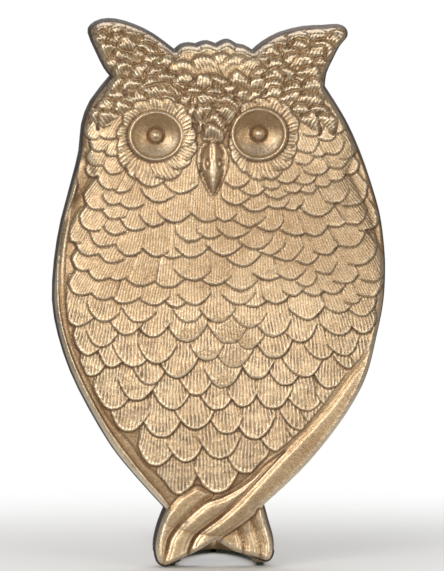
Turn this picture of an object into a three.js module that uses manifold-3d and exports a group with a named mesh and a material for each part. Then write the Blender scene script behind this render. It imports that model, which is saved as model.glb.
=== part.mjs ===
// One book end: a hollow cast owl plaque on a forked steel foot.
// The owl looks towards -Y, books stand on the +Y side, +Z is up, units are millimetres.
// The origin is on the shelf, in the middle of the whole book end's bounding box.

import * as THREE from 'three';
import { mergeVertices } from 'three/addons/utils/BufferGeometryUtils.js';
import Module from 'manifold-3d';

const wasm = await Module();
wasm.setup();

// ---------------------------------------------------------------- driving dimensions

// Depths of the plaque are distances in front of the book face, towards the viewer.
const gap = 0.3; // clearance between pieces that rest on each other
const feltThickness = 1.9;
const plateThickness = 1.0;
const plateBack = feltThickness + gap;
const castingBack = plateBack + plateThickness + gap;
const wallHeight = 9;
const rimDepth = castingBack + wallHeight; // front edge of the side wall
const wallDraft = 0.7; // the side wall leans in by this much over its height
const wallThickness = 2;
const shoulderHeight = 2.2; // rounded step from the side wall to the feathered face
const shoulderInset = 1.5;

const steelThickness = 2.5; // heavy enough to hold the owl up with no books
const yokeFront = rimDepth - 2.2; // front side of the upright fork, inside the casting
const bendInnerRadius = 0.5;
const footFeltThickness = 0.9;
const bladeBottom = footFeltThickness + gap;
const footReach = 112; // from the book face to the far end of the foot
const footSides = [-15.2, 14.2]; // the foot's tongue under the books, on the plaque's x
const footCornerRadius = 7;
const feltInset = 0.8; // of the foot's felts from the steel's edge
const feltSplit = 1.6; // width left free between the two felts

const plateScrewRadius = 1.5;
const bracketScrewRadius = 2;
const bossWall = 1.7;
const threadDepth = 6;

const featherThickness = 2.2;
const beakLift = 1.2; // how far the beak stands in front of the breast's highest point
const beyond = 60; // reach of a cutting box past the plaque's edge

// The plaque's features, as [x, z] on its face.
const leftEye = { x: -18.7, z: 130.2, width: 8.1, height: 7.3 };
const rightEye = { x: 12.5, z: 130.6, width: 8.3, height: 7.8 };
const beak = { x: -1.7, top: 128.5, tip: 112.6, halfWidth: 4.5, rise: 5.2 };

// Each leg of the foot, between its outer and its inner edge.
const leftLeg = { outer: -17.2, inner: -12.2 };
const rightLeg = { outer: 14.4, inner: 10.2 };

const plateScrewPlaces = [[-31, 155], [30, 154], [-43.5, 88], [43.5, 88], [-1.8, 16.5]];
const bracketScrewPlaces = [[-12, 32], [8.5, 32], [-14, 52], [10.5, 52]];

// The dome of the breast and the dome of the head stand on the rim.
const domes = [
  { x: 0, z: 76, halfWidth: 50.5, halfHeight: 66, rise: 8.2 },
  { x: 0, z: 131, halfWidth: 41, halfHeight: 33, rise: 6.6 },
];

const frontDepth = rimDepth + domes[0].rise + beakLift;
const bookFaceY = (frontDepth - footReach) / 2; // centres the whole depth on the origin

// ---------------------------------------------------------------- outline of the plaque

// Stretches of the outline between its sharp corners, going round from the crown's left end.
const outlineStretches = [
  [[-13.4, 155.6], [-11.8, 157], [-9.4, 157.6], [-7, 157.3]],
  [[-7, 157.3], [-5.6, 157.9], [-3.6, 158.2], [-1, 157.3]],
  [[-1, 157.3], [0.8, 158.3], [2.8, 158.6], [5.3, 157.2]],
  [[5.3, 157.2], [7.5, 156.8], [10, 155.4]],
  [[10, 155.4], [13, 157.9], [18, 160.6], [25, 162.4], [31, 162.7], [35.7, 163], [38.2, 161.8],
    [38.7, 159.4], [36.4, 156.4], [34.2, 152.2], [32.4, 148.2], [31.9, 144.4]],
  [[31.9, 144.4], [38, 134.6], [42.4, 125], [45.8, 115.3], [48.5, 105.7], [49.8, 96], [50.1, 88],
    [49.5, 79], [47.6, 69.4], [44.6, 57.5], [39.7, 47.8], [32.8, 38], [24.6, 28.5], [13.7, 18.4]],
  [[13.7, 18.4], [15, 13.6], [16.4, 8.5], [16.5, 4.4], [15.4, 2.1], [13.8, 1.5]],
  [[13.8, 1.5], [11.2, 2.4], [4.5, 4.3], [-1.2, 7.6]],
  [[-1.2, 7.6], [-6.6, 4.3], [-11.8, 1.9], [-14.8, 0.5], [-16.9, 0.2], [-18.8, 1.4], [-19.8, 4.3],
    [-19.8, 8], [-18.6, 13], [-16.8, 17.6]],
  [[-16.8, 17.6], [-24.4, 26], [-32.3, 35.7], [-39.5, 47.8], [-44.8, 58.6], [-48.4, 69.4],
    [-50.2, 80], [-49.6, 92], [-47.6, 104], [-44.4, 116], [-42.2, 125], [-41.4, 133], [-38.8, 140],
    [-32.9, 147.6]],
  [[-32.9, 147.6], [-34.6, 149.8], [-37.2, 155], [-39.4, 160.4], [-38.6, 162.9], [-35.4, 164.6],
    [-31, 164.7], [-25.4, 163.1], [-19.6, 160.2], [-13.4, 155.6]],
];

// A closed list of points along smooth stretches, each given by the points it passes through.
function smoothLoop(stretches, pointsPerSpan) {
  const loop = [];
  for (const stretch of stretches) {
    const curve = new THREE.SplineCurve(stretch.map(([x, z]) => new THREE.Vector2(x, z)));
    loop.push(...curve.getPoints((stretch.length - 1) * pointsPerSpan).slice(0, -1));
  }
  return THREE.ShapeUtils.isClockWise(loop) ? loop.reverse() : loop;
}

// Unit vectors that point into a counter-clockwise loop at each of its points.
function inwardNormals(loop) {
  return loop.map((point, i) => {
    const before = loop[(i + loop.length - 1) % loop.length];
    const after = loop[(i + 1) % loop.length];
    const along = after.clone().sub(before).normalize();
    return new THREE.Vector2(-along.y, along.x);
  });
}

function distanceToLoop(point, loop) {
  let nearest = Infinity;
  loop.forEach((start, i) => {
    const end = loop[(i + 1) % loop.length];
    const edge = end.clone().sub(start);
    const share = THREE.MathUtils.clamp(point.clone().sub(start).dot(edge) / edge.lengthSq(), 0, 1);
    nearest = Math.min(nearest, point.distanceTo(start.clone().addScaledVector(edge, share)));
  });
  return nearest;
}

// The loop moved inwards. Points that would come nearer to the loop than that are left out.
function insetLoop(loop, distance) {
  const normals = inwardNormals(loop);
  const moved = loop.map((point, i) => point.clone().addScaledVector(normals[i], distance));
  return moved.filter((point) => distanceToLoop(point, loop) > distance - 0.02);
}

// ---------------------------------------------------------------- solids

// A closed three.js geometry as a manifold solid, with its faces pointing out.
function toSolid(geometry) {
  const bare = geometry.clone();
  bare.deleteAttribute('normal');
  bare.deleteAttribute('uv');
  const merged = mergeVertices(bare, 1e-4);
  const corners = merged.index.array;
  const triangles = [];
  for (let i = 0; i < corners.length; i += 3) {
    const [a, b, c] = corners.slice(i, i + 3);
    if (a !== b && b !== c && c !== a) triangles.push(a, b, c);
  }
  const build = () => new wasm.Manifold(new wasm.Mesh({
    numProp: 3,
    vertProperties: new Float32Array(merged.attributes.position.array),
    triVerts: new Uint32Array(triangles),
  }));
  const solid = build();
  if (solid.volume() > 0) return solid;
  triangles.reverse();
  return build();
}

function toGeometry(solid) {
  const mesh = solid.getMesh();
  const geometry = new THREE.BufferGeometry();
  geometry.setAttribute('position', new THREE.BufferAttribute(mesh.vertProperties, 3));
  geometry.setIndex(new THREE.BufferAttribute(mesh.triVerts, 1));
  geometry.computeVertexNormals();
  return geometry;
}

function joined(solids) {
  return solids.reduce((whole, solid) => whole.add(solid));
}

// A prism over a loop on the plaque's face, between two depths.
function prism(loop, from, to) {
  const geometry = new THREE.ExtrudeGeometry(new THREE.Shape(loop), {
    depth: to - from, bevelEnabled: false,
  });
  return toSolid(geometry.translate(0, 0, from));
}

// A prism whose front end is drawn in by `draft`.
function draftedPrism(loop, from, to, draft) {
  const normals = inwardNormals(loop);
  const geometry = new THREE.ExtrudeGeometry(new THREE.Shape(loop), {
    depth: to - from, bevelEnabled: false,
  });
  const place = geometry.attributes.position;
  for (let i = 0; i < place.count; i += 1) {
    if (place.getZ(i) > (to - from) / 2) {
      const corner = new THREE.Vector2(place.getX(i), place.getY(i));
      const spans = loop.map((point) => point.distanceToSquared(corner));
      const normal = normals[spans.indexOf(Math.min(...spans))];
      place.setXY(i, corner.x + normal.x * draft, corner.y + normal.y * draft);
    }
  }
  return toSolid(geometry.translate(0, 0, from));
}

function box(x0, x1, z0, z1, from, to) {
  const geometry = new THREE.BoxGeometry(x1 - x0, z1 - z0, to - from);
  return toSolid(geometry.translate((x0 + x1) / 2, (z0 + z1) / 2, (from + to) / 2));
}

// A round post along the depth direction.
function post([x, z], radius, from, to, sides = 20) {
  const geometry = new THREE.CylinderGeometry(radius, radius, to - from, sides);
  geometry.rotateX(Math.PI / 2);
  return toSolid(geometry.translate(x, z, (from + to) / 2));
}

function ellipsoid(x, z, depth, halfWidth, halfHeight, rise, columns, rows) {
  const geometry = new THREE.SphereGeometry(1, columns, rows);
  geometry.rotateX(Math.PI / 2).scale(halfWidth, halfHeight, rise);
  return toSolid(geometry.translate(x, z, depth));
}

// ---------------------------------------------------------------- owl casting

const outline = smoothLoop(outlineStretches, 2);

// Height of the domed face above the rim plane at a point of the plaque.
function domeHeight(x, z) {
  const heights = domes.map((dome) => {
    const across = (x - dome.x) / dome.halfWidth;
    const along = (z - dome.z) / dome.halfHeight;
    return dome.rise * Math.sqrt(Math.max(0, 1 - across * across - along * along));
  });
  return Math.max(shoulderHeight, ...heights);
}

function shell() {
  const face = insetLoop(outline, wallDraft + 0.2);
  const wall = draftedPrism(outline, castingBack, rimDepth, wallDraft);
  const shoulder = draftedPrism(face, rimDepth - 1, rimDepth + shoulderHeight, shoulderInset);
  const trim = prism(insetLoop(outline, wallDraft + 1), rimDepth - 4, rimDepth + 30);
  const bulge = joined(domes.map((dome) => ellipsoid(
    dome.x, dome.z, rimDepth, dome.halfWidth, dome.halfHeight, dome.rise, 28, 14,
  )));
  return joined([wall, shoulder, bulge.intersect(trim)]);
}

function hollow() {
  const inner = insetLoop(outline, wallThickness);
  const well = prism(inner, castingBack - 1, rimDepth - wallThickness);
  const trim = prism(inner, castingBack - 1, rimDepth + 30);
  const bulge = joined(domes.map((dome) => ellipsoid(
    dome.x, dome.z, rimDepth - wallThickness, dome.halfWidth - wallThickness,
    dome.halfHeight - wallThickness, dome.rise, 20, 10,
  )));
  return joined([well, bulge.intersect(trim)]);
}

// A raised ring round a dish with a ball in its middle, turned as one profile.
function eye({ x, z, width, height }) {
  const base = -3;
  const profile = [
    [0, base], [1.12, base], [1.12, 0.4], [1.0, 1.3], [0.9, 1.5], [0.82, 1.1], [0.74, 0.2],
    [0.5, -0.7], [0.3, -0.9], [0.27, 0.1], [0.17, 0.8], [0, 1.0],
  ];
  const points = profile.map(([radius, rise]) => new THREE.Vector2(radius, rise));
  const geometry = new THREE.LatheGeometry(points, 22).rotateX(Math.PI / 2);
  geometry.scale(width, height, 1);
  return toSolid(geometry.translate(x, z, rimDepth + domeHeight(x, z)));
}

// Room for the eye's dish, cut before the eye is joined.
function eyeSocket({ x, z, width, height }) {
  const depth = rimDepth + domeHeight(x, z);
  return ellipsoid(x, z, depth, width * 0.95, height * 0.95, 1.6, 24, 12);
}

// The beak is an ellipsoid drawn to a point at its lower end, with a ridge down its middle.
function beakSolid() {
  const length = beak.top - beak.tip;
  const geometry = new THREE.SphereGeometry(1, 16, 12);
  const place = geometry.attributes.position;
  for (let i = 0; i < place.count; i += 1) {
    const along = place.getY(i); // 1 at the top, -1 at the tip
    const taper = 0.35 + 0.65 * THREE.MathUtils.smoothstep(along, -1, 0.4);
    place.setX(i, place.getX(i) * taper);
  }
  geometry.scale(beak.halfWidth, length / 2, beak.rise);
  const depth = frontDepth - beak.rise;
  return toSolid(geometry.translate(beak.x, (beak.top + beak.tip) / 2, depth));
}

// One feather: a rounded tongue that lies on the dome with its lower end lifted.
function feather(x, z, width, length, lift) {
  const half = width / 2;
  const shape = new THREE.Shape();
  shape.moveTo(-half, length * 0.45);
  shape.lineTo(-half, 0);
  shape.absellipse(0, 0, half, length * 0.55, Math.PI, 2 * Math.PI, false);
  shape.lineTo(half, length * 0.45);
  const geometry = new THREE.ExtrudeGeometry(shape, {
    depth: featherThickness, bevelEnabled: false, curveSegments: 3,
  });
  const step = 1;
  const slopeX = (domeHeight(x + step, z) - domeHeight(x - step, z)) / (2 * step);
  const slopeZ = (domeHeight(x, z + step) - domeHeight(x, z - step)) / (2 * step);
  const outwards = new THREE.Vector3(-slopeX, -slopeZ, 1).normalize();
  const lean = new THREE.Quaternion().setFromUnitVectors(new THREE.Vector3(0, 0, 1), outwards);
  geometry.translate(0, 0, -featherThickness);
  geometry.rotateX(-Math.asin(lift / length));
  geometry.applyQuaternion(lean);
  return toSolid(geometry.translate(x, z, rimDepth + domeHeight(x, z) + lift * 0.45));
}

// Rows of feathers down the breast, each row set half a feather across from the last.
function feathers() {
  const rows = 9;
  const top = 104;
  const rowStep = 9;
  const solids = [];
  for (let row = 0; row < rows; row += 1) {
    const z = top - row * rowStep;
    const halfRow = 41 * Math.sqrt(Math.max(0, 1 - ((z - 84) / 66) ** 2)) - 4;
    const width = 13;
    const count = Math.max(1, Math.round((2 * halfRow) / width) - (row % 2));
    for (let i = 0; i < count; i += 1) {
      const x = (i - (count - 1) / 2) * width - 1;
      solids.push(feather(x, z, width - 0.6, 10.8, 1.3));
    }
  }
  return joined(solids);
}

// A folded wing's edge: a band that follows the outline and narrows towards the waist.
function wingBand(stretches, rise) {
  const loop = smoothLoop(stretches, 3);
  return draftedPrism(loop, rimDepth - 1, rimDepth + rise, 0.5);
}

const leftWingBand = [
  [[-44.6, 112], [-48.6, 96], [-49.2, 80], [-47.4, 69.4], [-43.9, 58.6], [-38.6, 47.8],
    [-31.5, 35.7], [-23.6, 26], [-16, 18.4]],
  [[-16, 18.4], [-14.4, 21.4]],
  [[-14.4, 21.4], [-21, 29], [-29, 40], [-37, 52.5], [-42.4, 66], [-45.4, 80], [-45.8, 94],
    [-44.6, 112]],
];
const rightWingAndTip = [
  [[46.8, 70], [43.6, 58], [38.8, 48.4], [32, 38.7], [23.8, 29.2], [12.9, 19]],
  [[12.9, 19], [5, 12.6], [-1.8, 8.6]],
  [[-1.8, 8.6], [-6.6, 5.4], [-11.8, 3], [-15, 1.5], [-17, 1.3], [-18.6, 3.4], [-18.8, 8],
    [-17.6, 13], [-14.6, 18], [-8, 24]],
  [[-8, 24], [4, 28], [17, 35], [28, 45], [36, 56], [40.4, 64], [43.6, 70]],
  [[43.6, 70], [46.8, 70]],
];
const leftWingTip = [
  [[3.6, 13.6], [12.8, 18], [14, 13.6], [15.4, 8.5], [15.5, 4.8], [14.4, 3], [11.4, 3.4],
    [4.6, 5.4], [-0.8, 8.4]],
  [[-0.8, 8.4], [3.6, 13.6]],
];

// Posts from the back of the face that take the screws from behind.
function bosses() {
  const plateBosses = plateScrewPlaces.map(
    (place) => post(place, plateScrewRadius + bossWall, castingBack, frontDepth, 12),
  );
  const bracketBosses = bracketScrewPlaces.map(
    (place) => post(place, bracketScrewRadius + bossWall, yokeFront + gap, frontDepth, 12),
  );
  return joined([...plateBosses, ...bracketBosses]);
}

function bossHoles() {
  const plateHoles = plateScrewPlaces.map((place) => post(
    place, plateScrewRadius + gap, castingBack - 1, castingBack + threadDepth + gap, 12,
  ));
  const bracketHoles = bracketScrewPlaces.map((place) => post(
    place, bracketScrewRadius + gap, yokeFront - 1, yokeFront + threadDepth + gap, 12,
  ));
  return joined([...plateHoles, ...bracketHoles]);
}

// The legs stand in pockets behind the face of the two tips, and leave backwards through their
// open lower ends.
function legWays() {
  const slotTop = bladeBottom + steelThickness + 2 * gap;
  const pocketTop = 13;
  const front = yokeFront + gap;
  return joined([
    box(-beyond, leftLeg.inner + 2 * gap, -2, slotTop, -1, front),
    box(rightLeg.inner - 2 * gap, beyond, -2, slotTop, -1, front),
    box(leftLeg.outer - gap, leftLeg.inner + 2 * gap, 0, pocketTop, -1, front),
    box(rightLeg.inner - 2 * gap, rightLeg.outer + gap, 0, pocketTop, -1, front),
  ]);
}

function owlCasting() {
  const skin = joined([shell(), feathers()])
    .subtract(eyeSocket(leftEye))
    .subtract(eyeSocket(rightEye));
  const bands = joined([
    wingBand(leftWingBand, 3.2), wingBand(leftWingTip, 3), wingBand(rightWingAndTip, 4.6),
  ]).intersect(prism(insetLoop(outline, wallDraft + 0.4), 0, frontDepth));
  const face = joined([skin, bands, beakSolid(), eye(leftEye), eye(rightEye)]);
  return face.subtract(hollow()).add(bosses().intersect(face))
    .subtract(bossHoles()).subtract(legWays());
}

// ---------------------------------------------------------------- sheet pieces

function backPlate() {
  const sheet = prism(outline, plateBack, plateBack + plateThickness);
  const holes = joined(plateScrewPlaces.map(
    (place) => post(place, plateScrewRadius + gap, 0, castingBack, 16),
  ));
  const clearOfFoot = box(-beyond, beyond, bladeBottom + steelThickness + 2 * gap, 200, -1, 10);
  return sheet.subtract(holes).intersect(clearOfFoot);
}

function backFelt() {
  const edge = insetLoop(outline, 10);
  const [bottom, top] = [27, 143];
  return prism(edge, 0, feltThickness).intersect(box(-beyond, beyond, bottom, top, -1, 10));
}

// The foot: an upright yoke that splits into two legs, which bend back under the plaque and
// join again in one flat tongue under the books.
function footBracket() {
  const crotch = 23;
  const low = bladeBottom + steelThickness + bendInnerRadius;
  const yoke = smoothLoop([
    [[leftLeg.outer, low], [leftLeg.outer, 9], [-14.6, 14.5], [-14.2, 22], [-16, 28], [-18.5, 36]],
    [[-18.5, 36], [-20, 50], [-20, 57]],
    [[-20, 57], [-19.1, 60.1], [-16, 61]],
    [[-16, 61], [12.6, 61]],
    [[12.6, 61], [15.7, 60.1], [16.6, 57]],
    [[16.6, 57], [16.6, 50], [15, 36]],
    [[15, 36], [12.8, 28], [11.2, 22], [11.6, 14.5], [rightLeg.outer, 9], [rightLeg.outer, low]],
    [[rightLeg.outer, low], [rightLeg.inner, low]],
    [[rightLeg.inner, low], [rightLeg.inner, 8], [5, 14.5], [3, 20]],
    [[3, 20], [0.8, crotch], [-2, crotch + 1], [-4.8, crotch], [-7, 20]],
    [[-7, 20], [-8.4, 14.5], [leftLeg.inner, 8], [leftLeg.inner, low]],
    [[leftLeg.inner, low], [leftLeg.outer, low]],
  ], 3);
  const upright = prism(yoke, yokeFront - steelThickness, yokeFront);
  const holes = joined(bracketScrewPlaces.map(
    (place) => post(place, bracketScrewRadius + gap, 0, rimDepth, 16),
  ));
  const flat = layFlat(footOutline(), bladeBottom, steelThickness);
  return joined([upright.subtract(holes), legBend(leftLeg), legBend(rightLeg), flat]);
}

const bendDepth = yokeFront - steelThickness - bendInnerRadius; // where the bends' axis lies

// The flat part of the foot seen from above, on the plaque's x and depth: two legs from the
// bends, and behind the crotch between them one tongue with rounded corners.
function footOutline() {
  const [left, right] = footSides;
  const [waist, back] = [-30, -footReach];
  const corner = back + footCornerRadius;
  const middle = (left + right) / 2;
  return smoothLoop([
    [[leftLeg.outer, bendDepth], [leftLeg.outer, -8], [left - 0.6, -20], [left, waist]],
    [[left, waist], [left, corner]],
    [[left, corner], [left + 2, back + 2], [left + footCornerRadius, back]],
    [[left + footCornerRadius, back], [right - footCornerRadius, back]],
    [[right - footCornerRadius, back], [right - 2, back + 2], [right, corner]],
    [[right, corner], [right, waist]],
    [[right, waist], [rightLeg.outer, -8], [rightLeg.outer, bendDepth]],
    [[rightLeg.outer, bendDepth], [rightLeg.inner, bendDepth]],
    [[rightLeg.inner, bendDepth], [rightLeg.inner, -6], [8.4, -18], [5, -30], [middle, -38],
      [-6.4, -30], [-10.6, -18], [leftLeg.inner, -6], [leftLeg.inner, bendDepth]],
    [[leftLeg.inner, bendDepth], [leftLeg.outer, bendDepth]],
  ], 4);
}

// A flat piece over a loop on x and depth, between two heights.
function layFlat(loop, bottom, thickness) {
  const geometry = new THREE.ExtrudeGeometry(new THREE.Shape(loop), {
    depth: thickness, bevelEnabled: false,
  });
  return toSolid(geometry.rotateX(-Math.PI / 2).scale(1, 1, -1).translate(0, bottom, 0));
}

function legBend(leg) {
  const outerRadius = bendInnerRadius + steelThickness;
  const section = new THREE.Shape(); // depth to the right, height up
  section.absarc(0, 0, outerRadius, -Math.PI / 2, 0, false);
  section.absarc(0, 0, bendInnerRadius, 0, -Math.PI / 2, true);
  const bend = new THREE.ExtrudeGeometry(section, {
    depth: Math.abs(leg.outer - leg.inner), bevelEnabled: false, curveSegments: 6,
  });
  bend.rotateY(-Math.PI / 2).translate(Math.max(leg.outer, leg.inner), 0, 0);
  return toSolid(bend.translate(0, bladeBottom + outerRadius, bendDepth));
}

// The felts under the foot, one for each leg and its half of the tongue.
function footFelts() {
  const whole = layFlat(insetLoop(footOutline(), feltInset), 0, footFeltThickness);
  const middle = (footSides[0] + footSides[1]) / 2;
  const half = (from, to) => box(from, to, -1, 2, -footReach, frontDepth);
  return [
    whole.intersect(half(-beyond, middle - feltSplit / 2)),
    whole.intersect(half(middle + feltSplit / 2, beyond)),
  ];
}

// ---------------------------------------------------------------- fasteners

// A pan-head screw seen from behind: its head's crown has a cross recess.
function panScrew(place, radius, seat, length) {
  const headRadius = radius * 1.85;
  const headHeight = radius * 0.95;
  const crown = seat - headHeight;
  const tip = seat + length;
  const profile = [
    [0, crown], [headRadius * 0.6, crown], [headRadius * 0.9, crown + headHeight * 0.25],
    [headRadius, crown + headHeight * 0.65], [headRadius, seat], [radius, seat],
    [radius, tip - 0.8], [radius * 0.6, tip], [0, tip],
  ];
  const points = profile.map(([r, depth]) => new THREE.Vector2(r, depth));
  const body = new THREE.LatheGeometry(points, 12).rotateX(Math.PI / 2);
  const solid = toSolid(body.translate(place[0], place[1], 0));
  const arm = headRadius * 0.55;
  const slot = radius * 0.22;
  const bottom = seat - headHeight * 0.35;
  const [x, z] = place;
  const cross = box(x - arm, x + arm, z - slot, z + slot, seat - 5, bottom)
    .add(box(x - slot, x + slot, z - arm, z + arm, seat - 5, bottom));
  return solid.subtract(cross);
}

// A split spring washer.
function lockWasher([x, z], radius, from, to) {
  const ring = post([x, z], radius * 1.75, from, to, 16)
    .subtract(post([x, z], radius + 0.25, from - 1, to + 1, 16));
  return ring.subtract(box(x, x + radius * 3, z - 0.35, z + 0.35, from - 1, to + 1));
}

// ---------------------------------------------------------------- assembly

function finish(colour, roughness, metalness) {
  return new THREE.MeshStandardMaterial({ color: colour, roughness, metalness });
}

const goldFinish = finish('#bea582', 0.42, 0.9);
const plateSteel = finish('#77777a', 0.5, 0.8);
const bracketSteel = finish('#8c744f', 0.45, 0.9);
const screwSteel = finish('#8f8d88', 0.35, 1);
const feltCloth = finish('#2f3a2a', 0.95, 0);

const plaque = new THREE.Group(); // x across, y up, z towards the viewer
plaque.rotation.x = Math.PI / 2;
const outlineBox = new THREE.Box2().setFromPoints(outline);
plaque.position.set(-outlineBox.getCenter(new THREE.Vector2()).x, bookFaceY, 0);

function addPiece(name, solid, material) {
  const mesh = new THREE.Mesh(toGeometry(solid), material);
  mesh.name = name;
  plaque.add(mesh);
}

addPiece('owl_casting', owlCasting(), goldFinish);
addPiece('back_plate', backPlate(), plateSteel);
addPiece('foot_bracket', footBracket(), bracketSteel);
addPiece('back_felt', backFelt(), feltCloth);
const [feltLeft, feltRight] = footFelts();
addPiece('foot_felt_left', feltLeft, feltCloth);
addPiece('foot_felt_right', feltRight, feltCloth);

const plateScrewNames = ['left_ear', 'right_ear', 'left_flank', 'right_flank', 'waist'];
plateScrewPlaces.forEach((place, i) => {
  const solid = panScrew(place, plateScrewRadius - gap, plateBack - gap, threadDepth);
  addPiece(`plate_screw_${plateScrewNames[i]}`, solid, screwSteel);
});

const washerThickness = 0.9;
const washerBack = yokeFront - steelThickness - gap - washerThickness;
bracketScrewPlaces.forEach((place, i) => {
  const washer = lockWasher(place, bracketScrewRadius, washerBack, washerBack + washerThickness);
  addPiece(`lock_washer_${i + 1}`, washer, screwSteel);
  const length = yokeFront + threadDepth - 0.5 - washerBack;
  const screw = panScrew(place, bracketScrewRadius - 0.15, washerBack - gap, length);
  addPiece(`bracket_screw_${i + 1}`, screw, screwSteel);
});

const bookEnd = new THREE.Group();
bookEnd.add(plaque);

export default bookEnd;
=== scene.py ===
"""Owl book end: the cast owl's feathered relief, its materials, and the studio round it.

Lengths in this script are millimetres in the plaque's own plane, x to the right and z up, with
depths measured forwards from the plane of the casting's back edge. `place` turns them into the
frame's metres. The frame's CAD pieces stay where they are; the casting, the sheet steel pieces,
the plate's screws and the felts are replaced by finer meshes of the same size.
"""

import math
from dataclasses import astuple, dataclass

import bmesh
import bpy
import numpy as np
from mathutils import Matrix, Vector
from mathutils.geometry import tessellate_polygon


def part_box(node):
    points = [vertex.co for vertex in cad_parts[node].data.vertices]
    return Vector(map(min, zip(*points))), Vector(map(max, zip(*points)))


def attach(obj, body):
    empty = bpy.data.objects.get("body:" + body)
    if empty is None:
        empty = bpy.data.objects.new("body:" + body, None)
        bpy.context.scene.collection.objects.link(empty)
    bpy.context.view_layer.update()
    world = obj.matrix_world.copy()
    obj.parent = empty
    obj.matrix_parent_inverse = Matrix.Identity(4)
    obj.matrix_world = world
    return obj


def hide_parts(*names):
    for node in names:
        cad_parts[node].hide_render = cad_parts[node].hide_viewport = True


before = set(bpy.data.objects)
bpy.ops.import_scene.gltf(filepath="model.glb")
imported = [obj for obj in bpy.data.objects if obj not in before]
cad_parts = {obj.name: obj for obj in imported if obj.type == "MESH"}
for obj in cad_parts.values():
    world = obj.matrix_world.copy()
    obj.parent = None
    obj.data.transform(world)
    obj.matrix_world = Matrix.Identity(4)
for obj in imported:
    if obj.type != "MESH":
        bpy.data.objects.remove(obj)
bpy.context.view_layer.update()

MM = 0.001
CAST_LOW, CAST_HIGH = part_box("owl_casting")
PLATE_LOW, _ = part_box("back_plate")

# ---------------------------------------------------------------- driving sizes

GRID = 0.25  # spacing of the relief's points
WALL_HEIGHT = 9.0  # back edge to front edge of the side wall
WALL_DRAFT = 0.7
WALL_THICKNESS = 2.2
LIP_CHAMFER = 0.18  # round the wall's back edge
FACE_LIMIT = (CAST_HIGH[1] - CAST_LOW[1]) / MM - WALL_HEIGHT - 0.05  # the face's greatest height
HOLLOW_DEPTH = 7.1  # of the flat-bottomed hollow behind the face
LEG_SLOT_TOP = PLATE_LOW[2] / MM + 0.6  # just above the back plate's lower edge
LEG_SLOTS = [(-20.2, -11.6), (9.6, 17)]  # sides of the two slots for the foot's legs

LEFT_EYE = {"x": -19.2, "z": 130.2, "wide": 8.1, "high": 7.4}
RIGHT_EYE = {"x": 11.6, "z": 130.7, "wide": 8.3, "high": 7.8}

# Stretches of the outline between its sharp corners, going round from the crown's left end.
OUTLINE = [
    [(-13.4, 155.6), (-11.8, 157), (-9.4, 157.6), (-7, 157.3)],
    [(-7, 157.3), (-5.6, 157.9), (-3.6, 158.2), (-1, 157.3)],
    [(-1, 157.3), (0.8, 158.3), (2.8, 158.6), (5.3, 157.2)],
    [(5.3, 157.2), (7.5, 156.8), (10, 155.4)],
    [(10, 155.4), (13, 157.9), (18, 160.6), (25, 162.4), (31, 162.7), (35.7, 163), (38.2, 161.8),
     (38.7, 159.4), (36.4, 156.4), (34.2, 152.2), (32.4, 148.2), (31.9, 144.4)],
    [(31.9, 144.4), (38, 134.6), (42.4, 125), (45.8, 115.3), (48.5, 105.7), (49.8, 96), (50.1, 88),
     (49.5, 79), (47.6, 69.4), (44.6, 57.5), (39.7, 47.8), (32.8, 38), (24.6, 28.5), (13.7, 18.4)],
    [(13.7, 18.4), (15, 13.6), (16.4, 8.5), (16.5, 4.4), (15.4, 2.1), (13.8, 1.5)],
    [(13.8, 1.5), (11.2, 2.4), (4.5, 4.3), (-1.2, 7.6)],
    [(-1.2, 7.6), (-6.6, 4.3), (-11.8, 1.9), (-14.8, 0.5), (-16.9, 0.2), (-18.8, 1.4),
     (-19.8, 4.3), (-19.8, 8), (-18.6, 13), (-16.8, 17.6)],
    [(-16.8, 17.6), (-24.4, 26), (-32.3, 35.7), (-39.5, 47.8), (-44.8, 58.6), (-48.4, 69.4),
     (-50.2, 80), (-49.6, 92), (-47.6, 104), (-44.4, 116), (-42.2, 125), (-41.4, 133),
     (-38.8, 140), (-32.9, 147.6)],
    [(-32.9, 147.6), (-34.6, 149.8), (-37.2, 155), (-39.4, 160.4), (-38.6, 162.9), (-35.4, 164.6),
     (-31, 164.7), (-25.4, 163.1), (-19.6, 160.2), (-13.4, 155.6)],
]

# Where the feathered field ends and the smooth wing edges begin, from the left flank down to
# the crossing and up the right flank. Above that the field reaches the outline.
FIELD_EDGE = [
    (-60, 128), (-41.6, 127), (-42, 121), (-43.1, 113), (-44.6, 104), (-45.9, 95), (-46.2, 84),
    (-45.6, 75), (-43.4, 66), (-39.6, 57.5), (-36.4, 50.5), (-31.8, 43.4), (-26.6, 38),
    (-22.6, 32), (-17.6, 27.5), (-13, 22.4), (-7, 24.6), (-1, 22.9), (4.8, 25.4), (8.8, 28.6),
    (13.4, 33.4), (18.6, 36.8), (23.8, 41.4), (27.8, 45.8), (31.2, 49.8), (34.6, 54.4),
    (38.2, 59.4), (42.2, 63.6), (45, 68.6), (47.4, 74), (60, 78),
]

# ---------------------------------------------------------------- feathers

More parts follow.
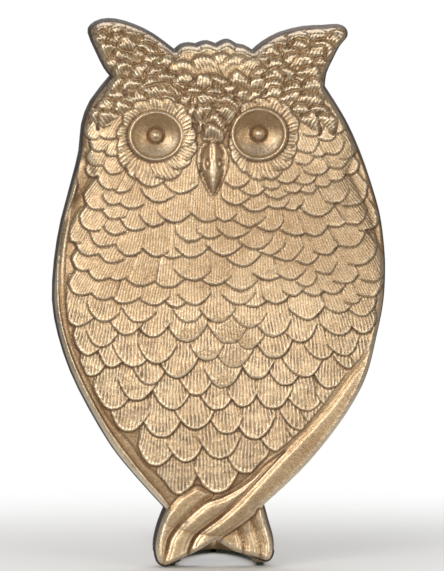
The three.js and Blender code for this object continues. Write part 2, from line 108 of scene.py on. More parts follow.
# Feathers whose tips point down: tip x, tip z, width. Grouped from the head downwards.
BREAST_FEATHERS = [
    # half hidden by the right wing's edge
    (43.5, 60.8, 8), (38.8, 54.4, 9), (34.2, 48.4, 9), (29.6, 43, 9), (24.8, 38.4, 8),
    # sides of the head and cheeks
    (-38.6, 121.1, 4.5), (-39.2, 118, 4), (-37.6, 125.6, 5), (-33.6, 124.2, 6), (-39.6, 129.4, 5),
    (-33.2, 118.7, 5.4), (-34.8, 129.2, 6), (-36.6, 133.2, 6),
    (-34.6, 114.3, 6.4), (-30.8, 113.4, 6), (-39, 108.4, 7), (-33.4, 109.6, 5.4),
    (26, 121.4, 5.4), (27, 125, 6.6), (31, 124.1, 6), (30.7, 118.6, 9), (37, 120.6, 7),
    (40.6, 118.8, 5), (36.4, 116.7, 6), (27.6, 113, 6), (26.6, 115.6, 7), (31.8, 114.8, 5),
    (36.3, 110.2, 7.6), (42.4, 109.8, 9), (35.2, 124.6, 6.6), (39.6, 123.4, 6), (33.4, 128.8, 6),
    (36.6, 131, 6), (28.8, 130, 6.4),
    # collar below the eyes
    (-28, 108.5, 8.6), (-19.5, 110.3, 9.4), (-12.4, 112.9, 9.6), (5.2, 114.5, 7), (10.5, 112.3, 8),
    (16, 114.1, 5.4), (21, 115.9, 6.4), (4.8, 109.4, 8.2), (11, 107.4, 8.6), (17.8, 108.3, 6),
    (22.4, 108, 6.4), (17.8, 111.2, 7.4), (22.6, 113, 5.4), (31.2, 106.3, 10),
    # upper breast
    (-33.2, 105.6, 8), (-40.3, 102.2, 7), (-32.9, 100.8, 7), (-27, 101.9, 7.6), (-20.8, 103.1, 7),
    (-14.2, 104.3, 9), (-4, 104.4, 9.4), (1.8, 104.7, 6), (8.8, 102.9, 9.6), (15.4, 101.5, 7.4),
    (24, 100.3, 10), (29.8, 100.3, 7.4), (37, 103.2, 7.8), (42.5, 104.1, 7), (46.2, 102.3, 7),
    (-44.4, 98.6, 5), (-36.6, 97.3, 8), (-9.2, 98.5, 8), (-2.9, 99.5, 7.8), (4.5, 99.5, 9.4),
    (11, 96.2, 9.6), (33, 94.8, 8), (41.4, 97.3, 8.6), (-41.2, 94.5, 7), (-34.3, 92.5, 8.6),
    (-28.4, 94.4, 7.6), (-20, 94.1, 7.8), (-14.7, 93.5, 8.6), (-8.8, 93.7, 9), (1.3, 94.3, 10),
    (15.3, 94.5, 8.2), (20.5, 92.8, 9.6), (27, 91.9, 7.4), (44.4, 91.9, 9.4), (7, 91, 9.6),
    # middle of the breast
    (-42.8, 90, 6), (-37.6, 87.3, 7.8), (-32, 87.1, 7.4), (-25, 85.2, 9.6), (-16.2, 84.8, 9.8),
    (-8.3, 86.8, 10), (-1.6, 85.5, 9), (15, 86.8, 9.6), (22, 87.1, 8), (32.6, 88.9, 6.6),
    (39.4, 86.3, 8.8), (47.4, 86.5, 8), (26.4, 85.2, 6), (6.3, 83.8, 9.4), (-43, 82.5, 7),
    (-36.5, 81.3, 8), (-29.6, 80, 9.2), (-20.8, 79.4, 9), (-13.5, 78.9, 7.6), (-7.8, 79.6, 9),
    (5.4, 79.6, 9.2), (10.2, 78.8, 8.4), (17.3, 79.8, 8), (22.6, 82.3, 6.4), (28.9, 82.2, 7.4),
    (35.2, 82.9, 7.6), (46.3, 82, 8), (41, 79.9, 6), (37, 77.2, 8.6), (44, 76.3, 8),
    (-43.4, 73.3, 9), (-35.9, 74.7, 9.2), (-25, 74.4, 10), (-9.7, 74.3, 8), (-1, 74.4, 9.8),
    (26.8, 75.2, 10.8), (8.7, 72.8, 9.2), (-28.7, 70.6, 9.6), (-20.8, 70.1, 9.8), (16.4, 70.1, 9.8),
    (36.5, 70.3, 9.6), (43.8, 70.9, 7.4),
    # lower breast
    (-10.2, 68.6, 11), (2.5, 68.2, 10.8), (24.5, 68.3, 9.4), (-36.2, 67, 8.4), (8.8, 66.6, 8),
    (-40.2, 64.6, 8.6), (37.8, 64.2, 9), (16.6, 63.7, 10.6), (-4, 62.9, 9.2), (31, 63.3, 9.4),
    (-32.8, 61, 8.4), (-26.3, 61.1, 11.4), (-19.3, 62, 10.4), (4, 61, 11), (39.2, 60.3, 8.6),
    (-38.8, 58, 7), (-13, 57.9, 11.6), (10.9, 57.5, 9.4), (25.5, 57.9, 11.6), (-21.2, 55.8, 9.6),
    (0.8, 55, 10.4), (19.8, 55.4, 9.4), (33.3, 54.5, 10.4), (-7, 52.5, 9.2), (-25.2, 51, 10.8),
    (7, 49, 8.2), (15.8, 48.4, 10.4), (-32.5, 48.2, 10.8), (-14.5, 48.2, 10.8), (-1, 48.2, 10.4),
    (26, 47.7, 11.6), (-7.3, 42.3, 11.6), (24, 42, 10.4), (-27.8, 41.4, 10.2), (2, 40.8, 9),
    (-17.5, 39.9, 11.6), (10.4, 39.4, 11), (17.2, 35.4, 9.6), (0, 33.3, 11.4), (-10.3, 32.4, 9.8),
    (-19.5, 31.2, 10.6), (8, 28.8, 12), (-0.8, 23, 12), (-13, 22.2, 11),
]

# Feathers round each eye, which point away from it: tip x, tip z, width.
LEFT_DISC = [
    (-31, 130.8, 6), (-30.6, 126, 6), (-29.8, 121.4, 6), (-26.4, 117.6, 6), (-21.5, 114.9, 8.4),
    (-14, 117.2, 8), (-9.6, 121.4, 6.4), (-7.2, 125.4, 6), (-7.2, 130.6, 6), (-8.6, 135.4, 5.6),
    (-11.2, 139.4, 5.6), (-15.4, 141.2, 5.6), (-20.2, 141.6, 5.6), (-25, 140.2, 5.6),
    (-28.6, 136.6, 5.6),
]
RIGHT_DISC = [
    (2.8, 126.4, 5.6), (4.4, 122, 5.4), (7, 119.3, 5.6), (12, 116.8, 7), (16.4, 117.3, 6.4),
    (20.4, 120.6, 6), (22.6, 124.8, 6), (23.4, 129.6, 6.4), (23.4, 134.8, 6), (20.6, 139, 6),
    (16.4, 141.4, 6), (11.8, 141.6, 5.6), (7.4, 140, 5.6),
]

# Scales of the head, whose free edges point up: tip x, tip z, width.
HEAD_SCALES = [
    # crown
    (-9.6, 158.2, 6.6), (-3.7, 158.8, 6.4), (2.7, 159.2, 6.6), (7.6, 157.4, 5.4),
    (-12, 152.9, 6.8), (-6, 154.2, 6.6), (0, 154.9, 6.6), (5.3, 154.5, 6.2), (10.2, 153, 5.4),
    (-11.8, 148.8, 6.6), (-5.4, 148.3, 6.2), (-0.3, 148.8, 6.2), (6.4, 149, 6.8),
    (-13.2, 146, 6.4), (-7.4, 145.6, 5.8), (-2.4, 145.2, 5.8), (2.8, 145.4, 5.8), (8, 144.6, 5.8),
    (-10.6, 142.8, 5.6), (-5.6, 142.6, 5.6), (-0.4, 142.8, 5.6), (4.6, 142, 5.6),
    (-6.4, 139.6, 5), (-1.4, 139.8, 5), (2.6, 139.2, 5), (-4, 136.8, 4.6), (0.2, 136.6, 4.6),
    (-1.8, 133.8, 4.6),
    # left ear and brow
    (-36.2, 163.6, 6), (-31.6, 163.6, 6), (-27.2, 162.8, 6.4), (-22.4, 160.4, 6.2),
    (-37.6, 160.4, 5), (-33, 160.4, 6), (-29, 159.5, 6.4), (-24.2, 157.2, 7), (-18.6, 158, 6.4),
    (-34.8, 158.2, 5.4), (-31.3, 155.2, 6.4), (-27, 155.8, 6), (-22, 154.4, 6.6),
    (-16.8, 153.9, 6.6), (-34, 153, 5), (-29.3, 152.7, 5.8), (-24.6, 151.6, 6.4), (-19.8, 151.4, 6),
    (-18.6, 149.2, 7.2), (-27, 147.6, 7.4), (-32, 148, 5), (-22.6, 147.2, 6), (-21.6, 145.2, 8),
    (-16.6, 145.6, 6.4), (-32.8, 143.6, 6.4), (-27.3, 143.4, 7.2), (-36.4, 140.4, 5.6),
    (-31.4, 139.8, 6), (-35.4, 137, 6), (-38.4, 137.4, 4.6), (-16.4, 142.6, 6),
    # right ear and brow
    (34.6, 162, 6.2), (30.4, 161.6, 6.4), (25.4, 160.8, 7), (19.6, 159.4, 6.6), (36.8, 160.4, 4.6),
    (16, 157.2, 7), (26.4, 158.2, 6.6), (21.4, 157.4, 6), (33.6, 158, 6), (29.6, 156.6, 6),
    (14.6, 154.8, 6.6), (22.6, 154.8, 7), (17.8, 153.6, 5.6), (28, 153.6, 6.4), (32.6, 153.4, 5.6),
    (12.6, 150.8, 6), (21.4, 150.6, 7), (16.6, 150.4, 5.6), (29.4, 150, 6.6), (26, 147.6, 6),
    (13, 147.8, 6), (18.4, 146.8, 7), (23, 146.4, 6), (29.4, 147.2, 6.4), (12.8, 144.6, 6.4),
    (18, 144.4, 6.4), (24, 143.4, 6.6), (29.2, 142.8, 7), (26.6, 139.4, 6.4), (32.2, 139, 6.4),
    (28.8, 136, 6.4), (34, 135.8, 6),
]

# ---------------------------------------------------------------- smooth wing edges

# Each strip is a rounded band: its outline, its level at the edge and how far it bulges.
LEFT_WING_EDGE = [(-60, 118), (-43.2, 118), (-46.6, 104), (-48.1, 95), (-48.3, 84), (-47.4, 75),
                  (-45, 66), (-41.5, 57.5), (-37.7, 50), (-33.2, 42.4), (-27.9, 35),
                  (-22, 27.6), (-16, 20.4), (-16.4, 17), (-30, 10), (-70, 60)]
LEFT_WING_TIP = [
    [(-3, 6), (4, 4), (6.9, 3.6), (6.9, 7), (6, 10.4), (4.8, 13.4), (-1, 10)],
    [(7.3, 3.4), (11, 1.6), (12.2, 1.6), (12, 6.6), (10.8, 11), (9.4, 16.4), (4.8, 13.4),
     (6.4, 10.4), (7.3, 7)],
    [(12.6, 0), (18, 0), (18.4, 8), (14.6, 20), (9.4, 16.6), (11.2, 11), (12.4, 6.6)],
]
RIGHT_WING_INNER = [(-16.6, 0), (-15.6, 6), (-14.4, 9.8), (-10.6, 14.4), (-4.6, 19.8), (1, 22),
                    (8, 26), (14, 31.5), (17, 34), (22, 36.8), (14.6, 29), (5, 19.8), (-5, 12),
                    (-8, 9.2), (-9.6, 5), (-10, 1)]
RIGHT_WING_OUTER = [(-9.6, 0), (-9, 5), (-7.4, 9.2), (-5, 11.6), (0, 15.4), (5.2, 20.2),
                    (10, 25.4), (14.5, 30.3), (18.4, 34.4), (22.6, 38.7), (26.6, 42.8),
                    (29.8, 46.3), (32.8, 49.8), (36, 54), (39.4, 58.8), (43, 62.8), (45.7, 67.4),
                    (48.2, 74), (56, 78), (70, 50), (30, 10), (13.4, 18.2),
                    (10, 15.8), (5, 12), (0, 8.4), (-2, 4)]
RIGHT_WING_TIP = [(-24, 0), (-24, 14), (-16.4, 17.2), (-13.4, 21), (-9.4, 24), (-6.6, 25.2),
                  (-2, 22.4), (-5, 19.8), (-10.6, 14.9), (-14.8, 10), (-16, 6), (-17, 0)]

# ---------------------------------------------------------------- the plane of the plaque


def curve_between(before, start, end, after, steps):
    """Points of a smooth curve from start to end, without end; before and after steer it."""
    pull0, pull1 = (end - before) / 2, (after - start) / 2
    cubic = 2 * start - 2 * end + pull0 + pull1
    square = 3 * end - 3 * start - 2 * pull0 - pull1
    return [cubic * t**3 + square * t**2 + pull0 * t + start for t in np.arange(steps) / steps]


def spline(points, steps):
    """An open smooth curve through the given points, without the last of them."""
    p = np.array(points, float)
    p = np.concatenate([p[:1], p, p[-1:]])
    return [q for four in zip(p, p[1:], p[2:], p[3:]) for q in curve_between(*four, steps)]


def rounded(polygon):
    """A closed smooth line through the corners of a polygon."""
    p = np.array(polygon, float)
    around = [np.roll(p, shift, axis=0) for shift in (1, 0, -1, -2)]
    return np.array([q for four in zip(*around) for q in curve_between(*four, 4)])


def nearest_on_loop(points, loop):
    """Nearest point of a closed loop to each point, its distance, and which points are inside."""
    best = np.full(len(points), np.inf)
    nearest = np.zeros((len(points), 2))
    inside = np.zeros(len(points), bool)
    for a, b in zip(loop, np.roll(loop, -1, axis=0)):
        edge = b - a
        length = edge @ edge
        if length == 0:
            continue
        share = np.clip(((points - a) @ edge) / length, 0, 1)
        spot = a + share[:, None] * edge
        gap = ((points - spot) ** 2).sum(1)
        closer = gap < best
        best[closer] = gap[closer]
        nearest[closer] = spot[closer]
        crosses = (a[1] > points[:, 1]) != (b[1] > points[:, 1])
        if edge[1] != 0:
            cut = a[0] + (points[:, 1] - a[1]) * edge[0] / edge[1]
            inside ^= crosses & (points[:, 0] < cut)
    return nearest, np.sqrt(best), inside


def signed_distance(x, z, loop):
    """Distance to a closed loop at every point of a grid, positive inside it."""
    _, distance, inside = nearest_on_loop(np.stack([x.ravel(), z.ravel()], 1), loop)
    return np.where(inside, distance, -distance).reshape(x.shape)


LOOP = np.array([p for stretch in OUTLINE for p in spline(stretch, 5)])
LOOP_LOW, LOOP_HIGH = LOOP.min(0), LOOP.max(0)
SCALE_X = (CAST_HIGH[0] - CAST_LOW[0]) / (LOOP_HIGH[0] - LOOP_LOW[0])


def place(x, z, depth):
    """Frame coordinates of points of the plaque; depth is forwards from its back edge."""
    return np.stack([
        CAST_LOW[0] + (np.asarray(x) - LOOP_LOW[0]) * SCALE_X,
        CAST_HIGH[1] - np.asarray(depth) * MM,
        CAST_HIGH[2] + (np.asarray(z) - LOOP_HIGH[1]) * MM,
    ], axis=-1)


COLUMNS = np.arange(LOOP_LOW[0] - 1, LOOP_HIGH[0] + 1 + GRID, GRID)
ROWS = np.arange(LOOP_LOW[1] - 1, LOOP_HIGH[1] + 1 + GRID, GRID)
X, Z = np.meshgrid(COLUMNS, ROWS)
EVERYWHERE = (slice(None), slice(None))
EDGE = signed_distance(X, Z, LOOP)


def window(x0, x1, z0, z1):
    """The slice of the grid that covers a box."""
    rows = np.searchsorted(ROWS, [z0, z1])
    columns = np.searchsorted(COLUMNS, [x0, x1])
    return slice(rows[0], rows[1] + 1), slice(columns[0], columns[1] + 1)


def smoothstep(low, high, value):
    t = np.clip((value - low) / (high - low), 0, 1)
    return t * t * (3 - 2 * t)


def bell(value, middle, width):
    """1 at the middle, falling smoothly to nearly 0 two widths away."""
    return np.exp(-(((value - middle) / width) ** 2))


def blurred(field, sigma):
    """The field averaged over a round patch, sigma in millimetres."""
    reach = max(1, int(math.ceil(3 * sigma / GRID)))
    weights = np.exp(-0.5 * (np.arange(-reach, reach + 1) * GRID / sigma) ** 2)
    weights /= weights.sum()
    result = field
    for axis in (0, 1):
        padding = [(reach, reach) if a == axis else (0, 0) for a in (0, 1)]
        padded = np.pad(result, padding, mode="edge")
        size = result.shape[axis]
        result = sum(
            w * np.take(padded, range(k, k + size), axis=axis) for k, w in enumerate(weights)
        )
    return result


def wavy(seed, size):
    """Smooth random waves between about -1 and 1, `size` millimetres long."""
    octaves, waves_each = 3, 6
    rng = np.random.default_rng(seed)
    total = np.zeros_like(X)
    for octave in range(octaves):
        for _ in range(waves_each):
            angle, phase = rng.uniform(0, 2 * math.pi, 2)
            wave = 2 * math.pi * 2**octave / (size * rng.uniform(0.8, 1.25))
            slant = X * math.cos(angle) + Z * math.sin(angle)
            total += np.sin(slant * wave + phase) / 2**octave
    return total / waves_each


EDGE_WAVES = wavy(21, 5.5)
LINE_WAVES = wavy(22, 8)

# ---------------------------------------------------------------- the relief

# The domes of the face: middle x, z, half width, half height, rise.
BREAST_DOME, HEAD_DOME = (0, 76, 50.5, 66, 7.9), (0, 131, 41, 33, 6.3)
LEFT_EAR_DOME, RIGHT_EAR_DOME = (-31, 156, 11, 11, 3.4), (29, 155, 12, 10, 3.3)
RIM_STEP = 0.6  # from the front edge of the wall up to the foot of the domes
FEATHER_BED = 0.35  # how far below the domes the ground between feathers lies


def dome(x, z, half_wide, half_high, rise):
    return rise * np.sqrt(np.clip(1 - ((X - x) / half_wide) ** 2 - ((Z - z) / half_high) ** 2, 0, 1))


def soft_max(a, b, reach):
    """The greater of two heights, with the crease between them filled."""
    return np.log(np.exp(a / reach) + np.exp(b / reach)) * reach


BODY = soft_max(dome(*BREAST_DOME), dome(*HEAD_DOME), 0.6)
EARS = soft_max(dome(*LEFT_EAR_DOME), dome(*RIGHT_EAR_DOME), 0.5)
BASE = soft_max(BODY, EARS, 0.5) + RIM_STEP  # the smooth face, above the wall's front edge


class Layers:
    """What is known at each grid point, painted on in turn."""

    def __init__(self):
        self.height = BASE - FEATHER_BED
        self.phase = np.zeros_like(X)  # counts the fine lines across a feather
        self.lines = np.zeros_like(X)  # how deep they are
        self.seam = np.zeros_like(X)  # thin dark line under a feather's edge: patina and painted shade
        self.band = np.zeros_like(X)  # 1 on the smooth wing edges
        self.bare = np.ones_like(X)  # 0 where a feather lies
        self.patina = np.zeros_like(X)  # darkening beside what the hollows get: a little patina, mostly painted shade
        self.painted_highlight = np.zeros_like(X)  # where a highlight is painted on the gold

    def put(self, part, where, **values):
        """Changes the named values over part of the grid, at the points where `where` holds."""
        for name, value in values.items():
            grid = getattr(self, name)
            grid[part] = np.where(where, value, grid[part])

    def at_least(self, name, part, value):
        grid = getattr(self, name)
        grid[part] = np.maximum(grid[part], value)


@dataclass
class Style:
    """A kind of feather. Its sizes are millimetres, apart from shares of the width."""

    drop: float  # how far the tip's border falls back at its sides, as a share of the width
    power: float  # of that border's curve
    camber: float  # rise of the middle above the sides
    bead: float  # rise of the rim
    fan: float  # how far the grooves spread towards the tip, as a share of their pitch
    pitch: float  # from groove to groove
    lines: float  # depth of the grooves
    plain_rim: float  # width of the rim, which has no grooves
    uneven: float = 0.3  # waviness of the border
    round: float = 0.3  # how far the tip's edge is rounded down
    round_reach: float = 0.2  # and how far in
    side_round: float = 0.0  # how far the sides' edges are rounded down
    patina: float = 0.0
    swell: float = 0.0  # height of the swelling behind the tip
    swell_at: float = 1.0  # where it is highest


HIGH_STYLE = Style(drop=0.3, power=1.9, camber=0.12, bead=0.04, fan=0.06, pitch=0.76, lines=0.17,
                   plain_rim=0.05)
LOW_STYLE = Style(drop=0.5, power=2.3, camber=0.35, bead=0.24, fan=0.22, pitch=0.92, lines=0.36,
                  plain_rim=0.42, round=0.35, side_round=0.1, patina=0.02)
HEAD_STYLE = Style(drop=0.34, power=2.1, camber=0.3, bead=0.14, fan=0.35, pitch=0.8, lines=0.23,
                   plain_rim=0.16, uneven=1.1, round=1.0, round_reach=0.5, side_round=0.7,
                   patina=0.03, swell=0.75, swell_at=1.8)
DISC_STYLE = Style(drop=0.3, power=2, camber=0.1, bead=0.03, fan=0.5, pitch=0.85, lines=0.24,
                   plain_rim=0.02, uneven=0.2, swell=0.15, swell_at=1.5)
CROWN_STYLE = Style(drop=0.26, power=2.2, camber=0.2, bead=0.04, fan=0.3, pitch=0.75, lines=0.18,
                    plain_rim=0.05, uneven=0.5, round=0.6, round_reach=0.3, side_round=0.3,
                    swell=0.35, swell_at=1.7)


def between(a, b, share):
    """A style part of the way from a to b."""
    return Style(*(x * (1 - share) + y * share for x, y in zip(astuple(a), astuple(b))))


# How far single feathers differ from their style, at most.
SKEW, BEND = 0.07, 0.05  # sideways, per length and per length squared over the width
WARP = 0.6  # unevenness of the tip from side to side, beside its waves
TILT = 0.16  # one side of the feather above the other
LIFT_SPREAD, PITCH_SPREAD = 0.12, 0.1
LINE_WAVER = 0.22  # of one groove's pitch

# The same on every feather.
BORDER_END = 1.2  # the tip's border is level beyond this share of the half width
BEAD_PLACE, BEAD_WIDTH = 0.4, 0.3
SIDE_REACH = 0.5  # how far in from its sides a feather is rounded
GROOVE_FADE, SIDE_FADE = 0.35, 0.25  # lengths over which grooves start at the rim and the sides
SEAM_PLACE, SEAM_WIDTH = -0.14, 0.17  # outside the feather's tip
DRAWN_LINES = 0.3  # grooves this deep get the darkest patina and painted shade, and the crests between them the brightest painted highlights


def feather(layers, tip, width, direction, length, lift, style, seed):
    """Lays one feather over the field: a tongue with a lifted, rounded end.

    `direction` points from the tip to the root, and `lift` is the tip's height over the face.
    """
    ends = np.array([tip, (tip[0] + direction[0] * length, tip[1] + direction[1] * length)])
    low, high = ends.min(0) - width, ends.max(0) + width
    part = window(low[0], high[0], low[1], high[1])
    dx, dz = X[part] - tip[0], Z[part] - tip[1]
    along = dx * direction[0] + dz * direction[1]  # 0 at the tip, rising to the root
    across = dx * direction[1] - dz * direction[0]
    rng = np.random.default_rng(seed)
    skew, bend, phase, tall, tilt, warp = rng.uniform(-1, 1, 6)
    across = across + SKEW * skew * along + BEND * bend * along * along / width
    half = width / 2
    share = np.abs(across) / half
    drop = style.drop * width
    uneven = style.uneven * (EDGE_WAVES[part] + WARP * warp * across / half)
    curve = np.minimum(share, BORDER_END)
    border = drop * curve ** style.power + uneven
    slope = drop * style.power / half * curve ** (style.power - 1)
    rim = (along - border) / np.sqrt(1 + slope * slope)
    side = half - np.abs(across)
    covered = (rim > 0) & (side > 0) & (along < length)
    rise = lift * (1 + LIFT_SPREAD * tall) * (1 - along / length)
    camber = style.camber * (1 - np.clip(share, 0, 1) ** 2)
    bead = style.bead * bell(rim, BEAD_PLACE, BEAD_WIDTH)
    rounding = -style.round * np.exp(-np.clip(rim, 0, None) / style.round_reach)
    rounding = rounding - style.side_round * np.exp(-np.clip(side, 0, None) / SIDE_REACH)
    fan = 1 + style.fan * np.clip((width - along) / width, 0, 1)
    pitch = style.pitch * (1 + PITCH_SPREAD * bend)
    count = across / fan / pitch + phase + LINE_WAVER * LINE_WAVES[part]
    strength = smoothstep(style.plain_rim, style.plain_rim + GROOVE_FADE, rim)
    strength = strength * smoothstep(0, SIDE_FADE, side)
    strength = strength * np.clip(0.75 + 0.5 * EDGE_WAVES[part], 0.2, 1.2)
    cut = style.lines * strength * (np.cos(2 * math.pi * count) - 1) / 2
    swell = style.swell * np.clip(1 - (rim / style.swell_at - 1) ** 2, 0, 1)
    surface = BASE[part] + rise + camber + bead + rounding + cut + swell
    surface = surface + TILT * tilt * across / half
    drawn = strength * min(1, style.lines / DRAWN_LINES)
    layers.put(part, covered, height=surface, phase=count, lines=drawn, bare=0,
               patina=style.patina)
    beside = (rim < 0) & (side > -0.1) & (along < length)
    layers.at_least("seam", part, bell(rim, SEAM_PLACE, SEAM_WIDTH) * beside)
    layers.put(part, covered, seam=0)


# How much wider each kind of feather is drawn than it shows, so that neighbours overlap.
BREAST_OVERLAP, CROWN_OVERLAP, HEAD_OVERLAP, BROW_OVERLAP, DISC_OVERLAP = 1.1, 1.2, 1.32, 1.45, 1.12
BREAST_SEED, HEAD_SEED, BROW_SEED, LEFT_DISC_SEED, RIGHT_DISC_SEED = 0, 500, 700, 900, 950

BREAST_REACH = 42  # x where the breast's feathers lean outwards most
LOW_LEAN, HIGH_LEAN = 0.12, 0.62  # of the outermost feathers, in radians
LEAN_HEIGHTS = (52, 104)  # between which the lean grows from the low to the high one
STYLE_HEIGHTS = (58, 88)  # between which the low style turns into the high one


def breast_feathers(layers):
    """Painted from the lowest tip up, since each feather covers the root of the next one down."""
    for i, (x, z, width) in enumerate(sorted(BREAST_FEATHERS, key=lambda f: f[1])):
        most = LOW_LEAN + (HIGH_LEAN - LOW_LEAN) * float(smoothstep(*LEAN_HEIGHTS, z))
        lean = math.copysign(min(abs(x) / BREAST_REACH, 1) ** 1.4 * most, x)
        direction = (-math.sin(lean), math.cos(lean))
        low = 1 - float(smoothstep(*STYLE_HEIGHTS, z))
        wide = width * BREAST_OVERLAP
        style = between(HIGH_STYLE, LOW_STYLE, low)
        feather(layers, (x, z), wide, direction, wide + 4.5, 0.85 + 0.5 * low, style,
                BREAST_SEED + i)


HEAD_MIDDLE, HEAD_REACH = -1, 34  # x of the line between the ears, and from there to the sides
HEAD_LEAN, LEAN_SPREAD = 0.62, 0.22  # of the outermost scales, in radians
CROWN_HALF, CROWN_LOW = 12.5, 151  # half width and lower end of the crown's smoother scales
EYES_MIDDLE, EYES_HALF, EYES_TOP = -3, 24, 141  # outside these the scales are short
BROW_MIDDLE, BROW_HALF, BROW_TOP, BROW_LEAN = -1.5, 9, 143, 0.55


def head_scales(layers):
    """Painted from the highest down: the scales point up and out, over the ones behind."""
    rng = np.random.default_rng(77)
    for i, (x, z, width) in enumerate(sorted(HEAD_SCALES, key=lambda f: -f[1])):
        out = x - HEAD_MIDDLE
        lean = math.copysign(min(abs(out) / HEAD_REACH, 1) * HEAD_LEAN, out)
        lean += rng.uniform(-LEAN_SPREAD, LEAN_SPREAD)
        direction = (-math.sin(lean), -math.cos(lean))
        if abs(out) < CROWN_HALF and z > CROWN_LOW:
            wide, length, lift, style = width * CROWN_OVERLAP, 8.5, 0.9, CROWN_STYLE
        else:
            beside_eye = abs(x - EYES_MIDDLE) > EYES_HALF and z < EYES_TOP
            length = 0.62 * width if beside_eye else 0.8 * width + 1.8
            wide, lift, style = width * HEAD_OVERLAP, 1.1, HEAD_STYLE
        feather(layers, (x, z), wide, direction, length, lift, style, HEAD_SEED + i)


def brow_scales(layers):
    """The low rows between the eyes, laid again so that they spread like the arms of a V."""
    brow = [f for f in HEAD_SCALES if abs(f[0] - BROW_MIDDLE) < BROW_HALF and f[1] < BROW_TOP]
    for i, (x, z, width) in enumerate(sorted(brow, key=lambda f: -f[1])):
        out = x - BROW_MIDDLE
        lean = math.copysign(BROW_LEAN, out) if abs(out) > 1.2 else 0.1
        direction = (-math.sin(lean), -math.cos(lean))
        feather(layers, (x, z), width * BROW_OVERLAP, direction, width * 0.8 + 1, 1.4, HEAD_STYLE,
                BROW_SEED + i)


DISC_START = 5.5  # how far from the eye's middle its disc's feathers have their roots


def disc_feathers(layers, eye, places, seed):
    """The facial disc: feathers that run outwards from the eye's ring."""
    for i, (x, z, width) in enumerate(places):
        dx, dz = eye["x"] - x, eye["z"] - z
        span = math.hypot(dx, dz)
        direction = (dx / span, dz / span)
        feather(layers, (x, z), width * DISC_OVERLAP, direction, span - DISC_START, 0.85,
                DISC_STYLE, seed + i)


EYE_REACH = 11  # of the square that is painted round an eye's middle
EYE_END = 1.04  # of the ring, as shares of the eye's half width and height
EYE_LIFT = 0.75  # of the eye's rim above the face
DISH_DEPTH, DISH_END = 2.9, 0.92
RING_RISE, RING_PLACE, RING_WIDTH = 0.85, 0.95, 0.055
BALL_RADIUS, BALL_STRETCH, BALL_SINK = 2.1, 1.15, 2.5


def eye_relief(layers, eye):
    """A raised ring round a dish with a ball in its middle."""
    part = window(eye["x"] - EYE_REACH, eye["x"] + EYE_REACH,
                  eye["z"] - EYE_REACH, eye["z"] + EYE_REACH)
    dx, dz = X[part] - eye["x"], Z[part] - eye["z"]
    out = np.hypot(dx / eye["wide"], dz / eye["high"])
    away = np.hypot(dx, dz)
    ring = bell(out, RING_PLACE, RING_WIDTH) * RING_RISE
    dish = -DISH_DEPTH * (1 - np.clip(out / DISH_END, 0, 1) ** 1.7)
    ball = np.sqrt(np.clip(BALL_RADIUS**2 - away**2, 0, None)) * BALL_STRETCH - BALL_SINK
    moat = -0.4 * bell(away, BALL_RADIUS + 0.15, 0.25)
    inside = np.where(away < BALL_RADIUS, np.maximum(dish, ball), dish + moat)
    middle = window(eye["x"], eye["x"], eye["z"], eye["z"])
    level = float(BASE[middle][0, 0]) + EYE_LIFT
    layers.put(part, out < EYE_END, height=level + ring + inside, lines=0, seam=0)

    # painted shade in the dish's upper part and round the ball, the ball itself darker, and a
    # painted highlight on its lower slope
    upper = smoothstep(-1.5, 5, 0.4 * np.abs(dx + 1) - 0.2 * dx + dz)
    near_ball = bell(away, BALL_RADIUS, 1.1)
    dark = np.maximum(0.42 * upper * smoothstep(1.0, 0.75, out), 0.55 * near_ball)
    dark = np.where(out > 0.9, 0.05, np.where(away < 0.8 * BALL_RADIUS, 0.45, dark))
    layers.put(part, out < EYE_END, patina=dark)
    slope = smoothstep(0.32, 0.6, out) * smoothstep(DISH_END, 0.8, out)
    lower = smoothstep(0.5, -4, dz - 0.35 * dx)
    layers.at_least("painted_highlight", part, 0.8 * slope * lower)


BEAK_MIDDLE = -2.2
NOSTRIL_Z, NOSTRIL_HALF_WIDE, NOSTRIL_HALF_HIGH = 121.8, 0.62, 1.35
BEAK_PROFILE = [  # z, half width, ridge height above the rim
    (111.7, 0, 7.2), (112.6, 0.9, 8.2), (114.2, 1.75, 8.9), (116.5, 2.8, 9.25), (118.4, 3.6, 9.3),
    (120.4, 4.2, 9.15), (122.4, 4.55, 8.9), (124.6, 4.4, 8.5), (126.6, 3.7, 8.1), (128, 2.6, 7.7),
    (128.8, 0, 7.2),
]


def beak_relief(layers):
    """A hooked beak with a groove round each nostril and two ridges at its root."""
    part = window(-9, 6, 110, 131)
    level = np.array(BEAK_PROFILE)
    x, z = X[part], Z[part]
    half = np.interp(z, level[:, 0], level[:, 1])
    ridge = np.interp(z, level[:, 0], level[:, 2])
    across = (x - BEAK_MIDDLE) / np.maximum(half, 0.01)
    surface = ridge - 0.2 - 3.0 * np.abs(across) ** 1.5
    nostril_dark = np.zeros_like(surface)
    for side in (-1, 1):
        beside = (x + 2 - side * 2) / NOSTRIL_HALF_WIDE
        groove = bell(np.hypot(beside, (z - NOSTRIL_Z) / NOSTRIL_HALF_HIGH), 0.9, 0.35)
        surface -= 0.55 * groove
        nostril_dark = np.maximum(nostril_dark, groove)
        root_ridge = bell(x, side * 0.75 - 2.3, 0.3)
        surface += 0.45 * root_ridge * smoothstep(122, 124, z)
    shown = (np.abs(across) < 1) & (surface > layers.height[part] - 0.4)
    # painted shade on the beak, darkest on its sides and in the nostrils
    dark = 0.3 + 0.4 * np.abs(across) + 0.3 * (nostril_dark > 0.5)
    layers.put(part, shown, height=surface, lines=0, seam=0, patina=dark)
    outside = (np.abs(across) > 1) & (half > 0.3)
    layers.at_least("seam", part, bell((np.abs(across) - 1.06) * half, 0, 0.3) * outside)


